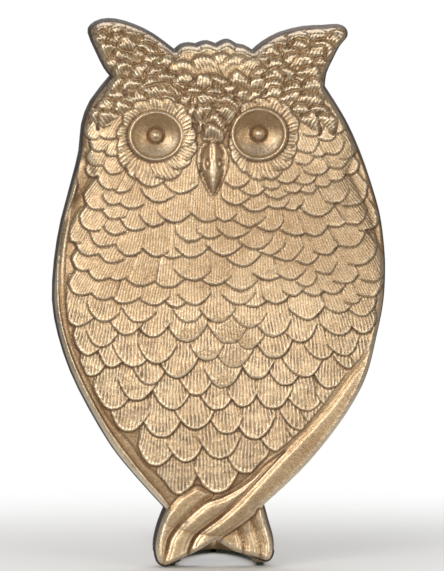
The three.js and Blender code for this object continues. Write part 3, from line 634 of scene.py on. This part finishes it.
def strip(layers, polygon, level, follow, bulge, half, seam=1, line=0.22):
    """A smooth rounded band of the folded wings.

    It stands `level` above the rim plus `follow` times the domes' rise, bulges by `bulge` over
    its first `half` millimetres, and has a groove `line` deep just inside its edge.
    """
    inside = signed_distance(X, Z, rounded(polygon))
    share = np.clip(inside / half, 0, 1)
    surface = level + follow * (BASE - RIM_STEP) + bulge * np.sqrt(1 - (1 - share) ** 2)
    surface = surface - line * bell(inside, 1.0, 0.3)
    edge_dark = 0.3 * (1 - np.clip(inside / 0.9, 0, 1))
    layers.put(EVERYWHERE, inside > 0, height=surface, lines=0, seam=0, band=1, patina=edge_dark)
    layers.at_least("seam", EVERYWHERE, seam * bell(inside, -0.12, 0.2) * (inside < 0))


LOW_FIELD_TOP = 62  # below this, what no feather covers is smooth too


def wing_edges(layers):
    """The smooth edges of the folded wings and their crossed tips, over the field's border."""
    field = signed_distance(X, Z, rounded(FIELD_EDGE + [(60, 200), (-60, 200)]))
    right = smoothstep(8, 20, X)
    cove = 1.3 + 0.8 * (BASE - RIM_STEP) + 1.1 * right
    smooth = (field < 0) | ((layers.bare > 0) & (Z < LOW_FIELD_TOP))
    # painted shade on the smooth ground left of the middle, fading out towards the right
    layers.put(EVERYWHERE, smooth, height=cove, lines=0, seam=0, band=1, patina=0.44 * (1 - right))
    step = bell(field, -0.25, 0.35) * (field < 0)
    layers.at_least("seam", EVERYWHERE, step * (1 - 0.8 * right))
    strip(layers, LEFT_WING_EDGE, level=1.7, follow=0.9, bulge=0.9, half=0.8)
    for polygon in LEFT_WING_TIP:
        strip(layers, polygon, level=0.7, follow=0.3, bulge=1.3, half=1.9)
    strip(layers, RIGHT_WING_TIP, level=1.6, follow=0.35, bulge=1.2, half=2)
    strip(layers, RIGHT_WING_INNER, level=2.1, follow=0.6, bulge=1.3, half=2.6)
    strip(layers, RIGHT_WING_OUTER, level=2.0, follow=0.8, bulge=1.3, half=2.8, seam=0.5, line=0.28)


def relief():
    """Everything on the face, from the bottom layer up."""
    layers = Layers()
    breast_feathers(layers)
    head_scales(layers)
    disc_feathers(layers, LEFT_EYE, LEFT_DISC, LEFT_DISC_SEED)
    disc_feathers(layers, RIGHT_EYE, RIGHT_DISC, RIGHT_DISC_SEED)
    brow_scales(layers)
    eye_relief(layers, LEFT_EYE)
    eye_relief(layers, RIGHT_EYE)
    beak_relief(layers)
    wing_edges(layers)
    # painted shade along the top edges of the head and ears
    high_edge = smoothstep(112, 124, Z) * smoothstep(3.2, 0.4, EDGE)
    layers.at_least("patina", EVERYWHERE, 0.75 * high_edge)
    # painted shade that darkens the upper breast
    breast = smoothstep(72, 92, Z) * smoothstep(126, 116, Z) * (1 - layers.band)
    layers.at_least("patina", EVERYWHERE, 0.34 * breast)
    return layers


FACE = relief()
EDGE_ROUNDING = 1.5  # how far in the face takes to rise from the wall's front edge
SMOOTHED = blurred(FACE.height - 0.3 * FACE.seam + 0.05 * wavy(9, 7), 0.16)
FROM_WALL = np.clip((EDGE - WALL_DRAFT) / EDGE_ROUNDING, 0, 1)
HEIGHT = np.minimum(SMOOTHED, FACE_LIMIT) * np.sqrt(np.clip(1 - (1 - FROM_WALL) ** 2, 0, 1))

# ---------------------------------------------------------------- where the finish is worn, and where shade and highlights are painted

DIRT_AND_SHADE_HELD = 0.92 - 0.62 * smoothstep(132, 142, Z)  # less dirt and painted shade in the head's hollows


def hollows(reach, depth):
    """1 where the face lies `depth` or more below its surroundings, `reach` millimetres wide."""
    return np.clip((blurred(HEIGHT, reach) - HEIGHT) / depth, 0, 1)


# Chips through the gold: x, z, half width, half height.
CHIPS = [(-48.6, 72.6, 0.55, 1.5), (-48.4, 86.5, 0.3, 0.4), (37.5, 71, 0.35, 0.3),
         (-10, 14, 0.45, 0.35), (47.6, 83, 0.3, 0.5)]
TOP_EDGE_SHADE = 0.55 * smoothstep(1.3, 0.8, EDGE) * smoothstep(112, 122, Z)  # painted shade: the top edge darkened like the side wall
# crevice: dirt and painted shade in the narrow hollows; shade: painted shade in the wider ones
POINT_VALUES = {
    "chip": np.max([
        np.exp(-(((X - x) / wide) ** 4) - (((Z - z) / high) ** 4)) for x, z, wide, high in CHIPS
    ], 0),
    "crevice": hollows(0.7, 0.38) * DIRT_AND_SHADE_HELD,
    "shade": hollows(2.2, 1.0) * DIRT_AND_SHADE_HELD,
    # painted highlights on what stands up, and on the eyes' lower slopes
    "raised": np.maximum(np.clip((HEIGHT - blurred(HEIGHT, 0.6)) / 0.16, 0, 1), FACE.painted_highlight),
    "phase": FACE.phase, "lines": FACE.lines, "seam": FACE.seam, "band": FACE.band,
    "patina": FACE.patina,
}


# ---------------------------------------------------------------- meshes


def new_object(name, points, faces, smooth=True):
    mesh = bpy.data.meshes.new(name)
    mesh.from_pydata(np.asarray(points).tolist(), [], [list(f) for f in faces])
    mesh.update()
    if smooth:
        mesh.polygons.foreach_set("use_smooth", np.ones(len(mesh.polygons), bool))
    obj = bpy.data.objects.new(name, mesh)
    bpy.context.scene.collection.objects.link(obj)
    return obj


def face_outwards(obj):
    bm = bmesh.new()
    bm.from_mesh(obj.data)
    bmesh.ops.recalc_face_normals(bm, faces=bm.faces)
    bm.to_mesh(obj.data)
    bm.free()


def point_values(obj, name, values):
    layer = obj.data.attributes.new(name, "FLOAT", "POINT")
    layer.data.foreach_set("value", np.asarray(values, np.float32))


def joined(previous, current):
    """Faces between two closed runs of as many points each."""
    count = len(current)
    after = [(i + 1) % count for i in range(count)]
    return [[previous[j], previous[i], current[i], current[j]] for i, j in enumerate(after)]


def run_from(start, following):
    """The closed run of points that starts at one of them, each pointing at the next."""
    run = [start]
    while following[run[-1]] != start:
        run.append(following[run[-1]])
    return run


def chosen_cells(distance, inset):
    """Grid cells deeper inside than `inset`, with no two that touch only at a corner."""
    centre = (distance[:-1, :-1] + distance[1:, :-1] + distance[:-1, 1:] + distance[1:, 1:]) / 4
    cells = centre > inset
    for _ in range(4):
        a, b = cells[:-1, :-1], cells[:-1, 1:]
        c, d = cells[1:, :-1], cells[1:, 1:]
        pinched = (a & d & ~b & ~c) | (b & c & ~a & ~d)
        for rows in (slice(None, -1), slice(1, None)):
            for columns in (slice(None, -1), slice(1, None)):
                cells[rows, columns] |= pinched
    return cells


def border_of(quads):
    """The boundary of a set of faces, as one closed run of corners in the faces' own direction."""
    sides = np.concatenate([quads[:, [i, (i + 1) % 4]] for i in range(4)])
    size = int(quads.max()) + 1
    forward = sides[:, 0].astype(np.int64) * size + sides[:, 1]
    backward = sides[:, 1].astype(np.int64) * size + sides[:, 0]
    edge = sides[~np.isin(forward, backward)]
    return run_from(int(edge[0, 0]), dict(edge.tolist()))


def grid_patch(x, z, distance, loop, inset):
    """A grid cut to a loop moved inwards, with its border drawn onto that line.

    Returns the grid indices used, their places, the faces, the border's run of points, and for
    each of these the nearest point of the loop and the unit vector inwards from it.
    """
    spacing = x[0, 1] - x[0, 0]
    rows, columns = np.nonzero(chosen_cells(distance, max(inset, 0.75 * spacing)))
    width = x.shape[1]
    first = rows * width + columns
    quads = np.stack([first, first + 1, first + 1 + width, first + width], 1)
    used, quads = np.unique(quads, return_inverse=True)
    quads = quads.reshape(-1, 4)
    spots = np.stack([x.ravel()[used], z.ravel()[used]], 1)
    rim = border_of(quads)
    nearest, _, _ = nearest_on_loop(spots[rim], loop)
    inward = spots[rim] - nearest
    inward /= np.hypot(inward[:, 0], inward[:, 1])[:, None]
    spots[rim] = nearest + inward * inset
    return used, spots, quads, rim, nearest, inward


def inset_points(loop, distance):
    """The loop moved inwards, without the points that come too near it again."""
    before, after = np.roll(loop, 1, axis=0), np.roll(loop, -1, axis=0)
    along = after - before
    along /= np.maximum(np.hypot(along[:, 0], along[:, 1]), 1e-9)[:, None]
    turn = np.sum(loop[:, 0] * np.roll(loop[:, 1], -1) - np.roll(loop[:, 0], -1) * loop[:, 1])
    inward = np.stack([-along[:, 1], along[:, 0]], 1) * math.copysign(1, turn)
    moved = loop + inward * distance
    _, away, inside = nearest_on_loop(moved, loop)
    return moved[inside & (away > distance - 0.03)]


def wall_foot(places, slot_depth):
    """Where the wall ends at the back: 0, or the slot's depth where a leg of the foot leaves."""
    x, z = places.T
    in_slot = np.any([(x > left) & (x < right) for left, right in LEG_SLOTS], 0)
    return np.where(in_slot & (z < LEG_SLOT_TOP), slot_depth, 0)


def owl_relief():
    """The casting: its feathered face, the drafted wall and the hollow behind."""
    used, spots, quads, rim, nearest, inward = grid_patch(X, Z, EDGE, LOOP, WALL_DRAFT)
    height = HEIGHT.ravel()[used].copy()
    height[rim] = 0
    points = [place(spots[:, 0], spots[:, 1], WALL_HEIGHT + height)]
    faces = quads.tolist()
    total = wall_start = len(used)

    previous = list(rim)
    back = wall_foot(nearest, HOLLOW_DEPTH)
    for share, chamfer in ((0.3, 0), (0.62, 0), (0.97, 0), (1, LIP_CHAMFER)):
        ring = nearest + inward * (WALL_DRAFT * (1 - share) + chamfer)
        points.append(place(ring[:, 0], ring[:, 1], WALL_HEIGHT + (back - WALL_HEIGHT) * share))
        current = list(range(total, total + len(rim)))
        faces += joined(previous, current)
        previous = current
        total += len(rim)
    lip_start = total - len(rim)

    inner = inset_points(LOOP, WALL_THICKNESS)
    mouth = list(range(total, total + len(inner)))
    bottom = list(range(total + len(inner), total + 2 * len(inner)))
    points.append(place(inner[:, 0], inner[:, 1], wall_foot(inner, HOLLOW_DEPTH - 0.02)))
    points.append(place(inner[:, 0], inner[:, 1], np.full(len(inner), HOLLOW_DEPTH)))
    total += 2 * len(inner)
    flat_outer = [Vector((x, z, 0)) for x, z in ring]
    flat_inner = [Vector((x, z, 0)) for x, z in inner]
    corners = previous + mouth
    faces += [[corners[i] for i in face] for face in tessellate_polygon([flat_outer, flat_inner])]
    faces += joined(bottom, mouth)
    faces += [[bottom[i] for i in face] for face in tessellate_polygon([flat_inner])]

    obj = new_object("owl_relief", np.concatenate(points), faces)
    face_outwards(obj)
    for name, grid in POINT_VALUES.items():
        values = np.zeros(total)
        values[:wall_start] = grid.ravel()[used]
        point_values(obj, name, values)
    wall = np.ones(total)
    wall[:wall_start] = TOP_EDGE_SHADE.ravel()[used]
    wall[rim] = np.maximum(wall[rim], 0.35)
    point_values(obj, "wall", wall)
    sharp_from(obj, lip_start)
    return obj


def sharp_from(obj, first):
    """Marks the edges among the points from `first` on as sharp, as round the back's flat lip."""
    mesh = obj.data
    ends = np.zeros(len(mesh.edges) * 2, int)
    mesh.edges.foreach_get("vertices", ends)
    sharp = (ends.reshape(-1, 2) >= first).all(1)
    layer = mesh.attributes.new("sharp_edge", "BOOLEAN", "EDGE")
    layer.data.foreach_set("value", sharp)


def softened(node, name, width):
    """A copy of a CAD piece with its flat faces merged and its edges rounded."""
    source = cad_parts[node]
    mesh = source.data.copy()
    obj = bpy.data.objects.new(name, mesh)
    obj.matrix_world = source.matrix_world.copy()
    bpy.context.scene.collection.objects.link(obj)
    bm = bmesh.new()
    bm.from_mesh(mesh)
    bmesh.ops.remove_doubles(bm, verts=bm.verts, dist=0.001 * MM)
    bmesh.ops.dissolve_limit(bm, angle_limit=math.radians(1), verts=bm.verts, edges=bm.edges)
    bm.to_mesh(mesh)
    bm.free()
    bevel = obj.modifiers.new("rounded_edges", "BEVEL")
    bevel.width = width * MM
    bevel.segments = 2
    bevel.limit_method = "ANGLE"
    bevel.angle_limit = math.radians(40)
    mesh.polygons.foreach_set("use_smooth", np.ones(len(mesh.polygons), bool))
    mesh.set_sharp_from_angle(angle=math.radians(50))
    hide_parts(node)
    return obj


def flat_side(node, axis, sign):
    """The closed border of a CAD piece's flat side, in millimetres in that side's own plane."""
    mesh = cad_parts[node].data
    points = np.array([v.co for v in mesh.vertices]) / MM
    others = [i for i in range(3) if i != axis]
    level = (points[:, axis] * sign).max()
    keys = [tuple(np.round(p, 3)) for p in points[:, others]]
    on_side = points[:, axis] * sign > level - 0.01
    sides = set()
    for face in mesh.polygons:
        corners = list(face.vertices)
        if on_side[corners].all():
            for a, b in zip(corners, corners[1:] + corners[:1]):
                sides.add((keys[a], keys[b]))
    following = {a: b for a, b in sides if (b, a) not in sides}
    return np.array(run_from(min(following), following))


def felt_pad(node, name, axis, sign, spacing, seed):
    """A piece of felt as it was cut: rounded, slightly furry edges and an uneven nap."""
    loop = flat_side(node, axis, sign)
    low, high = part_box(node)
    near, far = low[axis] / MM, high[axis] / MM
    thick = far - near
    span_low, span_high = loop.min(0) - spacing, loop.max(0) + 2 * spacing
    x, z = np.meshgrid(*(np.arange(a, b, spacing) for a, b in zip(span_low, span_high)))
    rounding = 0.4 * min(1, thick)
    distance = signed_distance(x, z, loop)
    _, spots, quads, rim, nearest, inward = grid_patch(x, z, distance, loop, rounding)
    rng = np.random.default_rng(seed)
    fray = rng.uniform(0, 0.18, len(rim)) * rounding
    most_nap = 0.06 * thick

    def in_space(flat, level):
        columns = [None] * 3
        columns[axis] = np.asarray(level) * MM
        for i, other in enumerate(j for j in range(3) if j != axis):
            columns[other] = flat[:, i] * MM
        return np.stack(columns, -1)

    count = len(spots)
    upper = far - rng.uniform(0, most_nap, count)
    lower = near + rng.uniform(0, most_nap, count)
    points = [in_space(spots, upper), in_space(spots, lower)]
    faces = quads.tolist() + [[count + i for i in reversed(q)] for q in quads.tolist()]
    previous = list(rim)
    start = 2 * count
    for turn in (35, 75, 105, 145):
        angle = math.radians(turn)
        ring = nearest + inward * (rounding * (1 - math.sin(angle)) + fray)[:, None]
        level = far - rounding if turn < 90 else near + rounding
        level = level + rounding * math.cos(angle)
        points.append(in_space(ring, np.full(len(rim), level)))
        current = list(range(start, start + len(rim)))
        faces += joined(previous, current)
        previous = current
        start += len(rim)
    faces += joined(previous, [count + i for i in rim])
    obj = new_object(name, np.concatenate(points), faces)
    face_outwards(obj)
    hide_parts(node)
    return obj


# ---------------------------------------------------------------- materials


class Signal:
    """What a material node gives out, with the arithmetic that Math nodes do."""

    def __init__(self, nodes, socket):
        self.nodes = nodes
        self.socket = socket

    def __add__(self, other):
        return self.nodes.math("ADD", self, other)

    def __mul__(self, other):
        return self.nodes.math("MULTIPLY", self, other)

    def __sub__(self, other):
        return self.nodes.math("SUBTRACT", self, other)

    def __rsub__(self, other):
        return self.nodes.math("SUBTRACT", other, self)

    def ranged(self, low, high, new_low=0.0, new_high=1.0):
        """Turns low..high smoothly into new_low..new_high, and holds it there outside."""
        node = self.nodes.add("MapRange")
        node.interpolation_type = "SMOOTHSTEP"
        self.nodes.link(self, node.inputs["Value"])
        for name, number in (("From Min", low), ("From Max", high), ("To Min", new_low),
                             ("To Max", new_high)):
            self.nodes.link(number, node.inputs[name])
        return Signal(self.nodes, node.outputs["Result"])


class Nodes:
    """Shorthand for building one procedural material."""

    def __init__(self, name):
        self.material = bpy.data.materials.new(name)
        self.material.use_nodes = True
        self.tree = self.material.node_tree
        self.shader = self.tree.nodes["Principled BSDF"]
        self.coordinates = self.add("TexCoord").outputs["Object"]

    def add(self, kind):
        return self.tree.nodes.new("ShaderNode" + kind)

    def link(self, value, socket):
        if isinstance(value, Signal):
            value = value.socket
        if isinstance(value, bpy.types.NodeSocket):
            self.tree.links.new(value, socket)
        elif isinstance(value, tuple) and socket.type == "RGBA":
            socket.default_value = (*value, 1)
        else:
            socket.default_value = value

    def value(self, name):
        node = self.add("Attribute")
        node.attribute_name = name
        return Signal(self, node.outputs["Fac"])

    def noise(self, scale, detail=3, roughness=0.55, stretch=None):
        node = self.add("TexNoise")
        node.inputs["Scale"].default_value = scale
        node.inputs["Detail"].default_value = detail
        node.inputs["Roughness"].default_value = roughness
        source = self.coordinates
        if stretch:
            mapping = self.add("Mapping")
            mapping.inputs["Scale"].default_value = stretch
            self.link(source, mapping.inputs["Vector"])
            source = mapping.outputs["Vector"]
        self.link(source, node.inputs["Vector"])
        return Signal(self, node.outputs["Fac"])

    def math(self, kind, a, b=0.0):
        node = self.add("Math")
        node.operation = kind
        self.link(a, node.inputs[0])
        self.link(b, node.inputs[1])
        return Signal(self, node.outputs[0])

    def mix(self, share, a, b):
        node = self.add("Mix")
        node.data_type = "RGBA"
        sockets = [s for s in node.inputs if s.type == "RGBA"]
        self.link(share, node.inputs["Factor"])
        self.link(a, sockets[0])
        self.link(b, sockets[1])
        return Signal(self, next(s for s in node.outputs if s.type == "RGBA"))

    def bump(self, height, strength, distance):
        node = self.add("Bump")
        node.inputs["Strength"].default_value = strength
        node.inputs["Distance"].default_value = distance
        self.link(height, node.inputs["Height"])
        self.link(node.outputs["Normal"], self.shader.inputs["Normal"])

    def set(self, **values):
        for name, value in values.items():
            self.link(value, self.shader.inputs[name.replace("_", " ")])


GOLD_DULL, GOLD_CLEAR, GOLD_BAND = (0.52, 0.355, 0.19), (0.63, 0.46, 0.27), (0.44, 0.295, 0.155)
GLINT, CREST, GLINT_FLECK = (1.0, 0.88, 0.67), (0.98, 0.86, 0.65), (0.93, 0.78, 0.54)
WASH_AND_SHADE, MOTTLE, SPECK = (0.31, 0.178, 0.082), (0.27, 0.165, 0.08), (0.21, 0.125, 0.06)
GROOVE, SHADE_AND_PATINA = (0.17, 0.095, 0.043), (0.172, 0.088, 0.036)
CREVICE, SEAM = (0.105, 0.049, 0.018), (0.098, 0.042, 0.013)
WALL_DARK, WALL_LIGHT = (0.055, 0.039, 0.029), (0.14, 0.101, 0.075)
BARE_ZINC = (0.21, 0.225, 0.25)


def gold_finish():
    """Antique gold over zinc: dirt and painted shade in the hollows and grooves, painted highlights
    on what stands up.
    """
    n = Nodes("antique_gold")
    crevice, shade, raised = n.value("crevice"), n.value("shade"), n.value("raised")
    seam, band, wall = n.value("seam"), n.value("band"), n.value("wall")
    patches = n.noise(70, 4)
    grain = n.noise(1500, 3, 0.7)
    fine = n.noise(3800, 2, 0.6)
    breaks = n.noise(650, 3, 0.6)
    ridges = (n.math("COSINE", n.value("phase") * (2 * math.pi)) + 1.0) * 0.5
    strength = n.value("lines") * breaks.ranged(0.36, 0.6, 0.3, 1.0)
    grooves = (1.0 - ridges) * strength
    crests = ridges * strength
    patina = n.value("patina") * grain.ranged(0.3, 0.65, 1.1, 0.6)
    hidden = crevice * (1.0 - band * 0.6)
    line = seam * (1.0 - band * 0.2)
    on_wall = wall.ranged(0.3, 0.6)

    colour = n.mix(patches.ranged(0.35, 0.68), GOLD_DULL, GOLD_CLEAR)
    colour = n.mix(band * 0.5, colour, GOLD_BAND)
    # painted highlight on what stands up and on the eyes' lower slopes
    colour = n.mix(raised * grain.ranged(0.4, 0.6, 0.35, 1.0) * 0.85, colour, GLINT)
    # painted highlights on the crests of the fine grooves
    colour = n.mix(crests * 0.6, colour, CREST)
    # painted shade in the wider hollows, and a darker tone in random patches
    colour = n.mix(shade * 0.5 + patches.ranged(0.6, 0.3, 0, 0.14), colour, WASH_AND_SHADE)
    # patina and painted shade in the fine grooves
    colour = n.mix(grooves * 0.85, colour, GROOVE)
    # mostly painted shade, on the eyes, the beak, the left cove, the top edges and the upper breast,
    # with a little patina
    colour = n.mix(patina * 0.85, colour, SHADE_AND_PATINA)
    # dirt and painted shade in the narrow hollows
    colour = n.mix(hidden.ranged(0.12, 0.85, 0, 0.85), colour, CREVICE)
    # patina and painted shade in the thin line under the feathers' edges
    colour = n.mix(line * 0.92, colour, SEAM)
    colour = n.mix(n.noise(270, 3).ranged(0.54, 0.72, 0, 0.4), colour, MOTTLE)
    # painted glints in fine flecks
    colour = n.mix(fine.ranged(0.48, 0.34, 0, 0.45), colour, GLINT_FLECK)
    specks = grain.ranged(0.58, 0.72, 0, 0.5) + fine.ranged(0.52, 0.66, 0, 0.5)
    colour = n.mix(specks, colour, SPECK)
    side = n.mix(patches.ranged(0.4, 0.62), WALL_DARK, WALL_LIGHT)
    # the side wall's own dark colour, also laid on the top edge as painted shade
    colour = n.mix(on_wall, colour, side)
    colour = n.mix(n.value("chip").ranged(0.3, 0.5), colour, BARE_ZINC)

    dull = n.math("MAXIMUM", hidden.ranged(0.1, 0.8), line)
    metal = (1.0 - dull * 0.45) * wall.ranged(0.3, 0.6, 0.9, 0.8)
    stained = n.math("MAXIMUM", dull, patina * 0.4)
    rough = grain.ranged(0.3, 0.7, 0.33, 0.5) - raised * 0.06
    rough = rough + stained * 0.22 + wall.ranged(0.3, 0.6, 0, 0.25)
    n.set(Base_Color=colour, Metallic=metal, Roughness=rough)
    n.bump(grain * 0.8 + fine * 0.7 + breaks * 2.2 + crests * 1.5, 0.9, 0.07 * MM)
    return n.material


def painted_steel(name, dark, light, worn, seed):
    """A thin coat over steel with fine brush streaks and rubbed spots."""
    n = Nodes(name)
    streaks = n.noise(700, 4, 0.6, (1, 0.08, 1))
    patches = n.noise(38 + seed, 4)
    specks = n.noise(2100, 2)
    colour = n.mix(patches.ranged(0.35, 0.65), dark, light)
    colour = n.mix(streaks.ranged(0.55, 0.75, 0, 0.35), colour, worn)
    colour = n.mix(specks.ranged(0.66, 0.72, 0, 0.6), colour, worn)
    n.set(Base_Color=colour, Metallic=0.85, Roughness=streaks.ranged(0.3, 0.7, 0.34, 0.52))
    n.bump(streaks + specks, 0.2, 0.05 * MM)
    return n.material


def screw_steel():
    """Bright turned steel with dirt left on it in patches."""
    n = Nodes("turned_steel")
    rings = n.noise(1600, 3, 0.6)
    dirt = n.noise(240, 3)
    colour = n.mix(dirt.ranged(0.45, 0.7), (0.56, 0.55, 0.52), (0.30, 0.27, 0.23))
    n.set(Base_Color=colour, Metallic=1.0, Roughness=rings.ranged(0.3, 0.7, 0.24, 0.42))
    n.bump(rings, 0.15, 0.04 * MM)
    return n.material


def felt_cloth():
    """Dark green pressed felt, whose fibres cross."""
    n = Nodes("pressed_felt")
    fibres = n.noise(1300, 5, 0.75, (1, 1, 0.45))
    crossing = n.noise(1300, 5, 0.75, (0.4, 1, 1))
    patches = n.noise(55, 3)
    mixed = (fibres + crossing) * 0.5
    colour = n.mix(mixed.ranged(0.38, 0.62), (0.016, 0.028, 0.018), (0.055, 0.085, 0.05))
    colour = n.mix(patches.ranged(0.4, 0.7, 0, 0.3), colour, (0.07, 0.09, 0.055))
    n.set(Base_Color=colour, Roughness=0.96, Sheen_Weight=0.35, Sheen_Roughness=0.5,
          Specular_IOR_Level=0.15)
    n.bump(mixed, 0.8, 0.4 * MM)
    return n.material


# ---------------------------------------------------------------- the pieces

GOLD = gold_finish()
PLATE_PAINT = painted_steel(
    "plate_paint", (0.25, 0.25, 0.255), (0.36, 0.36, 0.36), (0.55, 0.55, 0.54), 0
)
FOOT_PAINT = painted_steel(
    "foot_paint", (0.30, 0.205, 0.11), (0.42, 0.30, 0.17), (0.55, 0.45, 0.32), 7
)
STEEL = screw_steel()
FELT = felt_cloth()

made = []


def finish_with(obj, material):
    obj.data.materials.clear()
    obj.data.materials.append(material)


def add_piece(piece, material):
    finish_with(piece, material)
    made.append(piece)


owl = owl_relief()
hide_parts("owl_casting")
add_piece(owl, GOLD)
add_piece(softened("back_plate", "plate_sheet", 0.22), PLATE_PAINT)
add_piece(softened("foot_bracket", "forked_foot", 0.35), FOOT_PAINT)

for node in sorted(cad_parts):
    if node.startswith("plate_screw"):
        add_piece(softened(node, node + "_turned", 0.06), STEEL)
    elif node.startswith(("bracket_screw", "lock_washer")):
        finish_with(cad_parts[node], STEEL)

for node, axis, sign, spacing, rests_on in (
    ("back_felt", 1, 1, 0.9, "plate_sheet"),
    ("foot_felt_left", 2, -1, 0.6, "forked_foot"),
    ("foot_felt_right", 2, -1, 0.6, "forked_foot"),
):
    pad = felt_pad(node, node + "_nap", axis, sign, spacing, len(made))
    add_piece(pad, FELT)

for piece in made:
    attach(piece, "root")

# ---------------------------------------------------------------- studio

CAMERA_DISTANCE = 3.0
FRAME_HEIGHT = 0.1712  # what the picture's height covers at the front edge of the casting
AIM = Vector((0.0008, CAST_HIGH[1] - WALL_HEIGHT * MM, 0.0849))
AZIMUTH, ELEVATION = math.radians(-1.5), math.radians(3.5)
SENSOR = 36  # millimetres, as Blender counts it
LIGHT_TARGET = Vector((0, -0.05, 0.09))
FLOOR_RADIUS, FLOOR_SIDES = 1.1, 96
FLOOR_FADE = (0.03, 0.24)  # distances between which the floor fades into the white surround

# Each softbox: name, place, size, power, colour.
SOFTBOXES = [
    ("left_softbox", (-0.62, -1.25, 0.42), (0.7, 0.8), 10.6, (1, 0.955, 0.92)),
    ("right_softbox", (0.7, -1.15, 0.24), (0.5, 0.8), 5.2, (1, 0.955, 0.92)),
    ("back_softbox", (0.0, 0.7, 0.8), (0.9, 0.9), 5, (1, 1, 1)),
]


def aimed(data, place_at, target):
    """A camera or light at a place, turned towards a target."""
    obj = bpy.data.objects.new(data.name, data)
    obj.location = place_at
    obj.rotation_euler = (target - place_at).to_track_quat("-Z", "Y").to_euler()
    bpy.context.scene.collection.objects.link(obj)
    return obj


def camera():
    data = bpy.data.cameras.new("camera")
    data.sensor_width = SENSOR
    data.lens = SENSOR * CAMERA_DISTANCE / FRAME_HEIGHT
    data.clip_start, data.clip_end = 0.05, 100
    level = math.cos(ELEVATION)
    away = Vector((math.sin(AZIMUTH) * level, -math.cos(AZIMUTH) * level, math.sin(ELEVATION)))
    bpy.context.scene.camera = aimed(data, AIM + away * CAMERA_DISTANCE, AIM)


def softbox(name, place_at, size, power, colour):
    data = bpy.data.lights.new(name, "AREA")
    data.shape = "RECTANGLE"
    data.size, data.size_y = size
    data.energy = power
    data.color = colour
    aimed(data, Vector(place_at), LIGHT_TARGET)


def blend_surface(tree, share, near, far, output):
    """Gives a material or world a surface that is `near` at share 0 and `far` at share 1."""
    blend = tree.nodes.new("ShaderNodeMixShader")
    for socket, source in zip(blend.inputs, (share, near, far)):
        tree.links.new(source, socket)
    tree.links.new(blend.outputs[0], tree.nodes[output].inputs["Surface"])


def pale_floor():
    """A round floor that turns clear away from the object, so that it has no edge."""
    turns = [2 * math.pi * i / FLOOR_SIDES for i in range(FLOOR_SIDES)]
    ring = [(FLOOR_RADIUS * math.cos(t), FLOOR_RADIUS * math.sin(t), 0) for t in turns]
    floor = new_object("floor", ring, [list(range(FLOOR_SIDES))], smooth=False)
    n = Nodes("pale_floor")
    mottle = n.noise(14, 3)
    n.set(Base_Color=n.mix(mottle, (0.93, 0.93, 0.925), (0.96, 0.96, 0.955)), Roughness=0.8)
    clear = n.add("BsdfTransparent")
    length = n.add("VectorMath")
    length.operation = "LENGTH"
    n.link(n.coordinates, length.inputs[0])
    fade = Signal(n, length.outputs["Value"]).ranged(*FLOOR_FADE)
    blend_surface(n.tree, fade.socket, n.shader.outputs[0], clear.outputs[0], "Material Output")
    floor.data.materials.append(n.material)


def white_surround():
    """A world that the camera sees as white and that lights the object much less."""
    world = bpy.data.worlds.new("studio")
    bpy.context.scene.world = world
    world.use_nodes = True
    tree = world.node_tree
    seen, lit = tree.nodes["Background"], tree.nodes.new("ShaderNodeBackground")
    for node, colour, strength in ((seen, (1, 1, 1, 1), 1.0), (lit, (1, 0.985, 0.96, 1), 0.32)):
        node.inputs["Color"].default_value = colour
        node.inputs["Strength"].default_value = strength
    ray = tree.nodes.new("ShaderNodeLightPath")
    blend_surface(tree, ray.outputs["Is Camera Ray"], lit.outputs[0], seen.outputs[0],
                  "World Output")


camera()
pale_floor()
white_surround()
for box in SOFTBOXES:
    softbox(*box)
bpy.context.scene.view_settings.view_transform = "Standard"
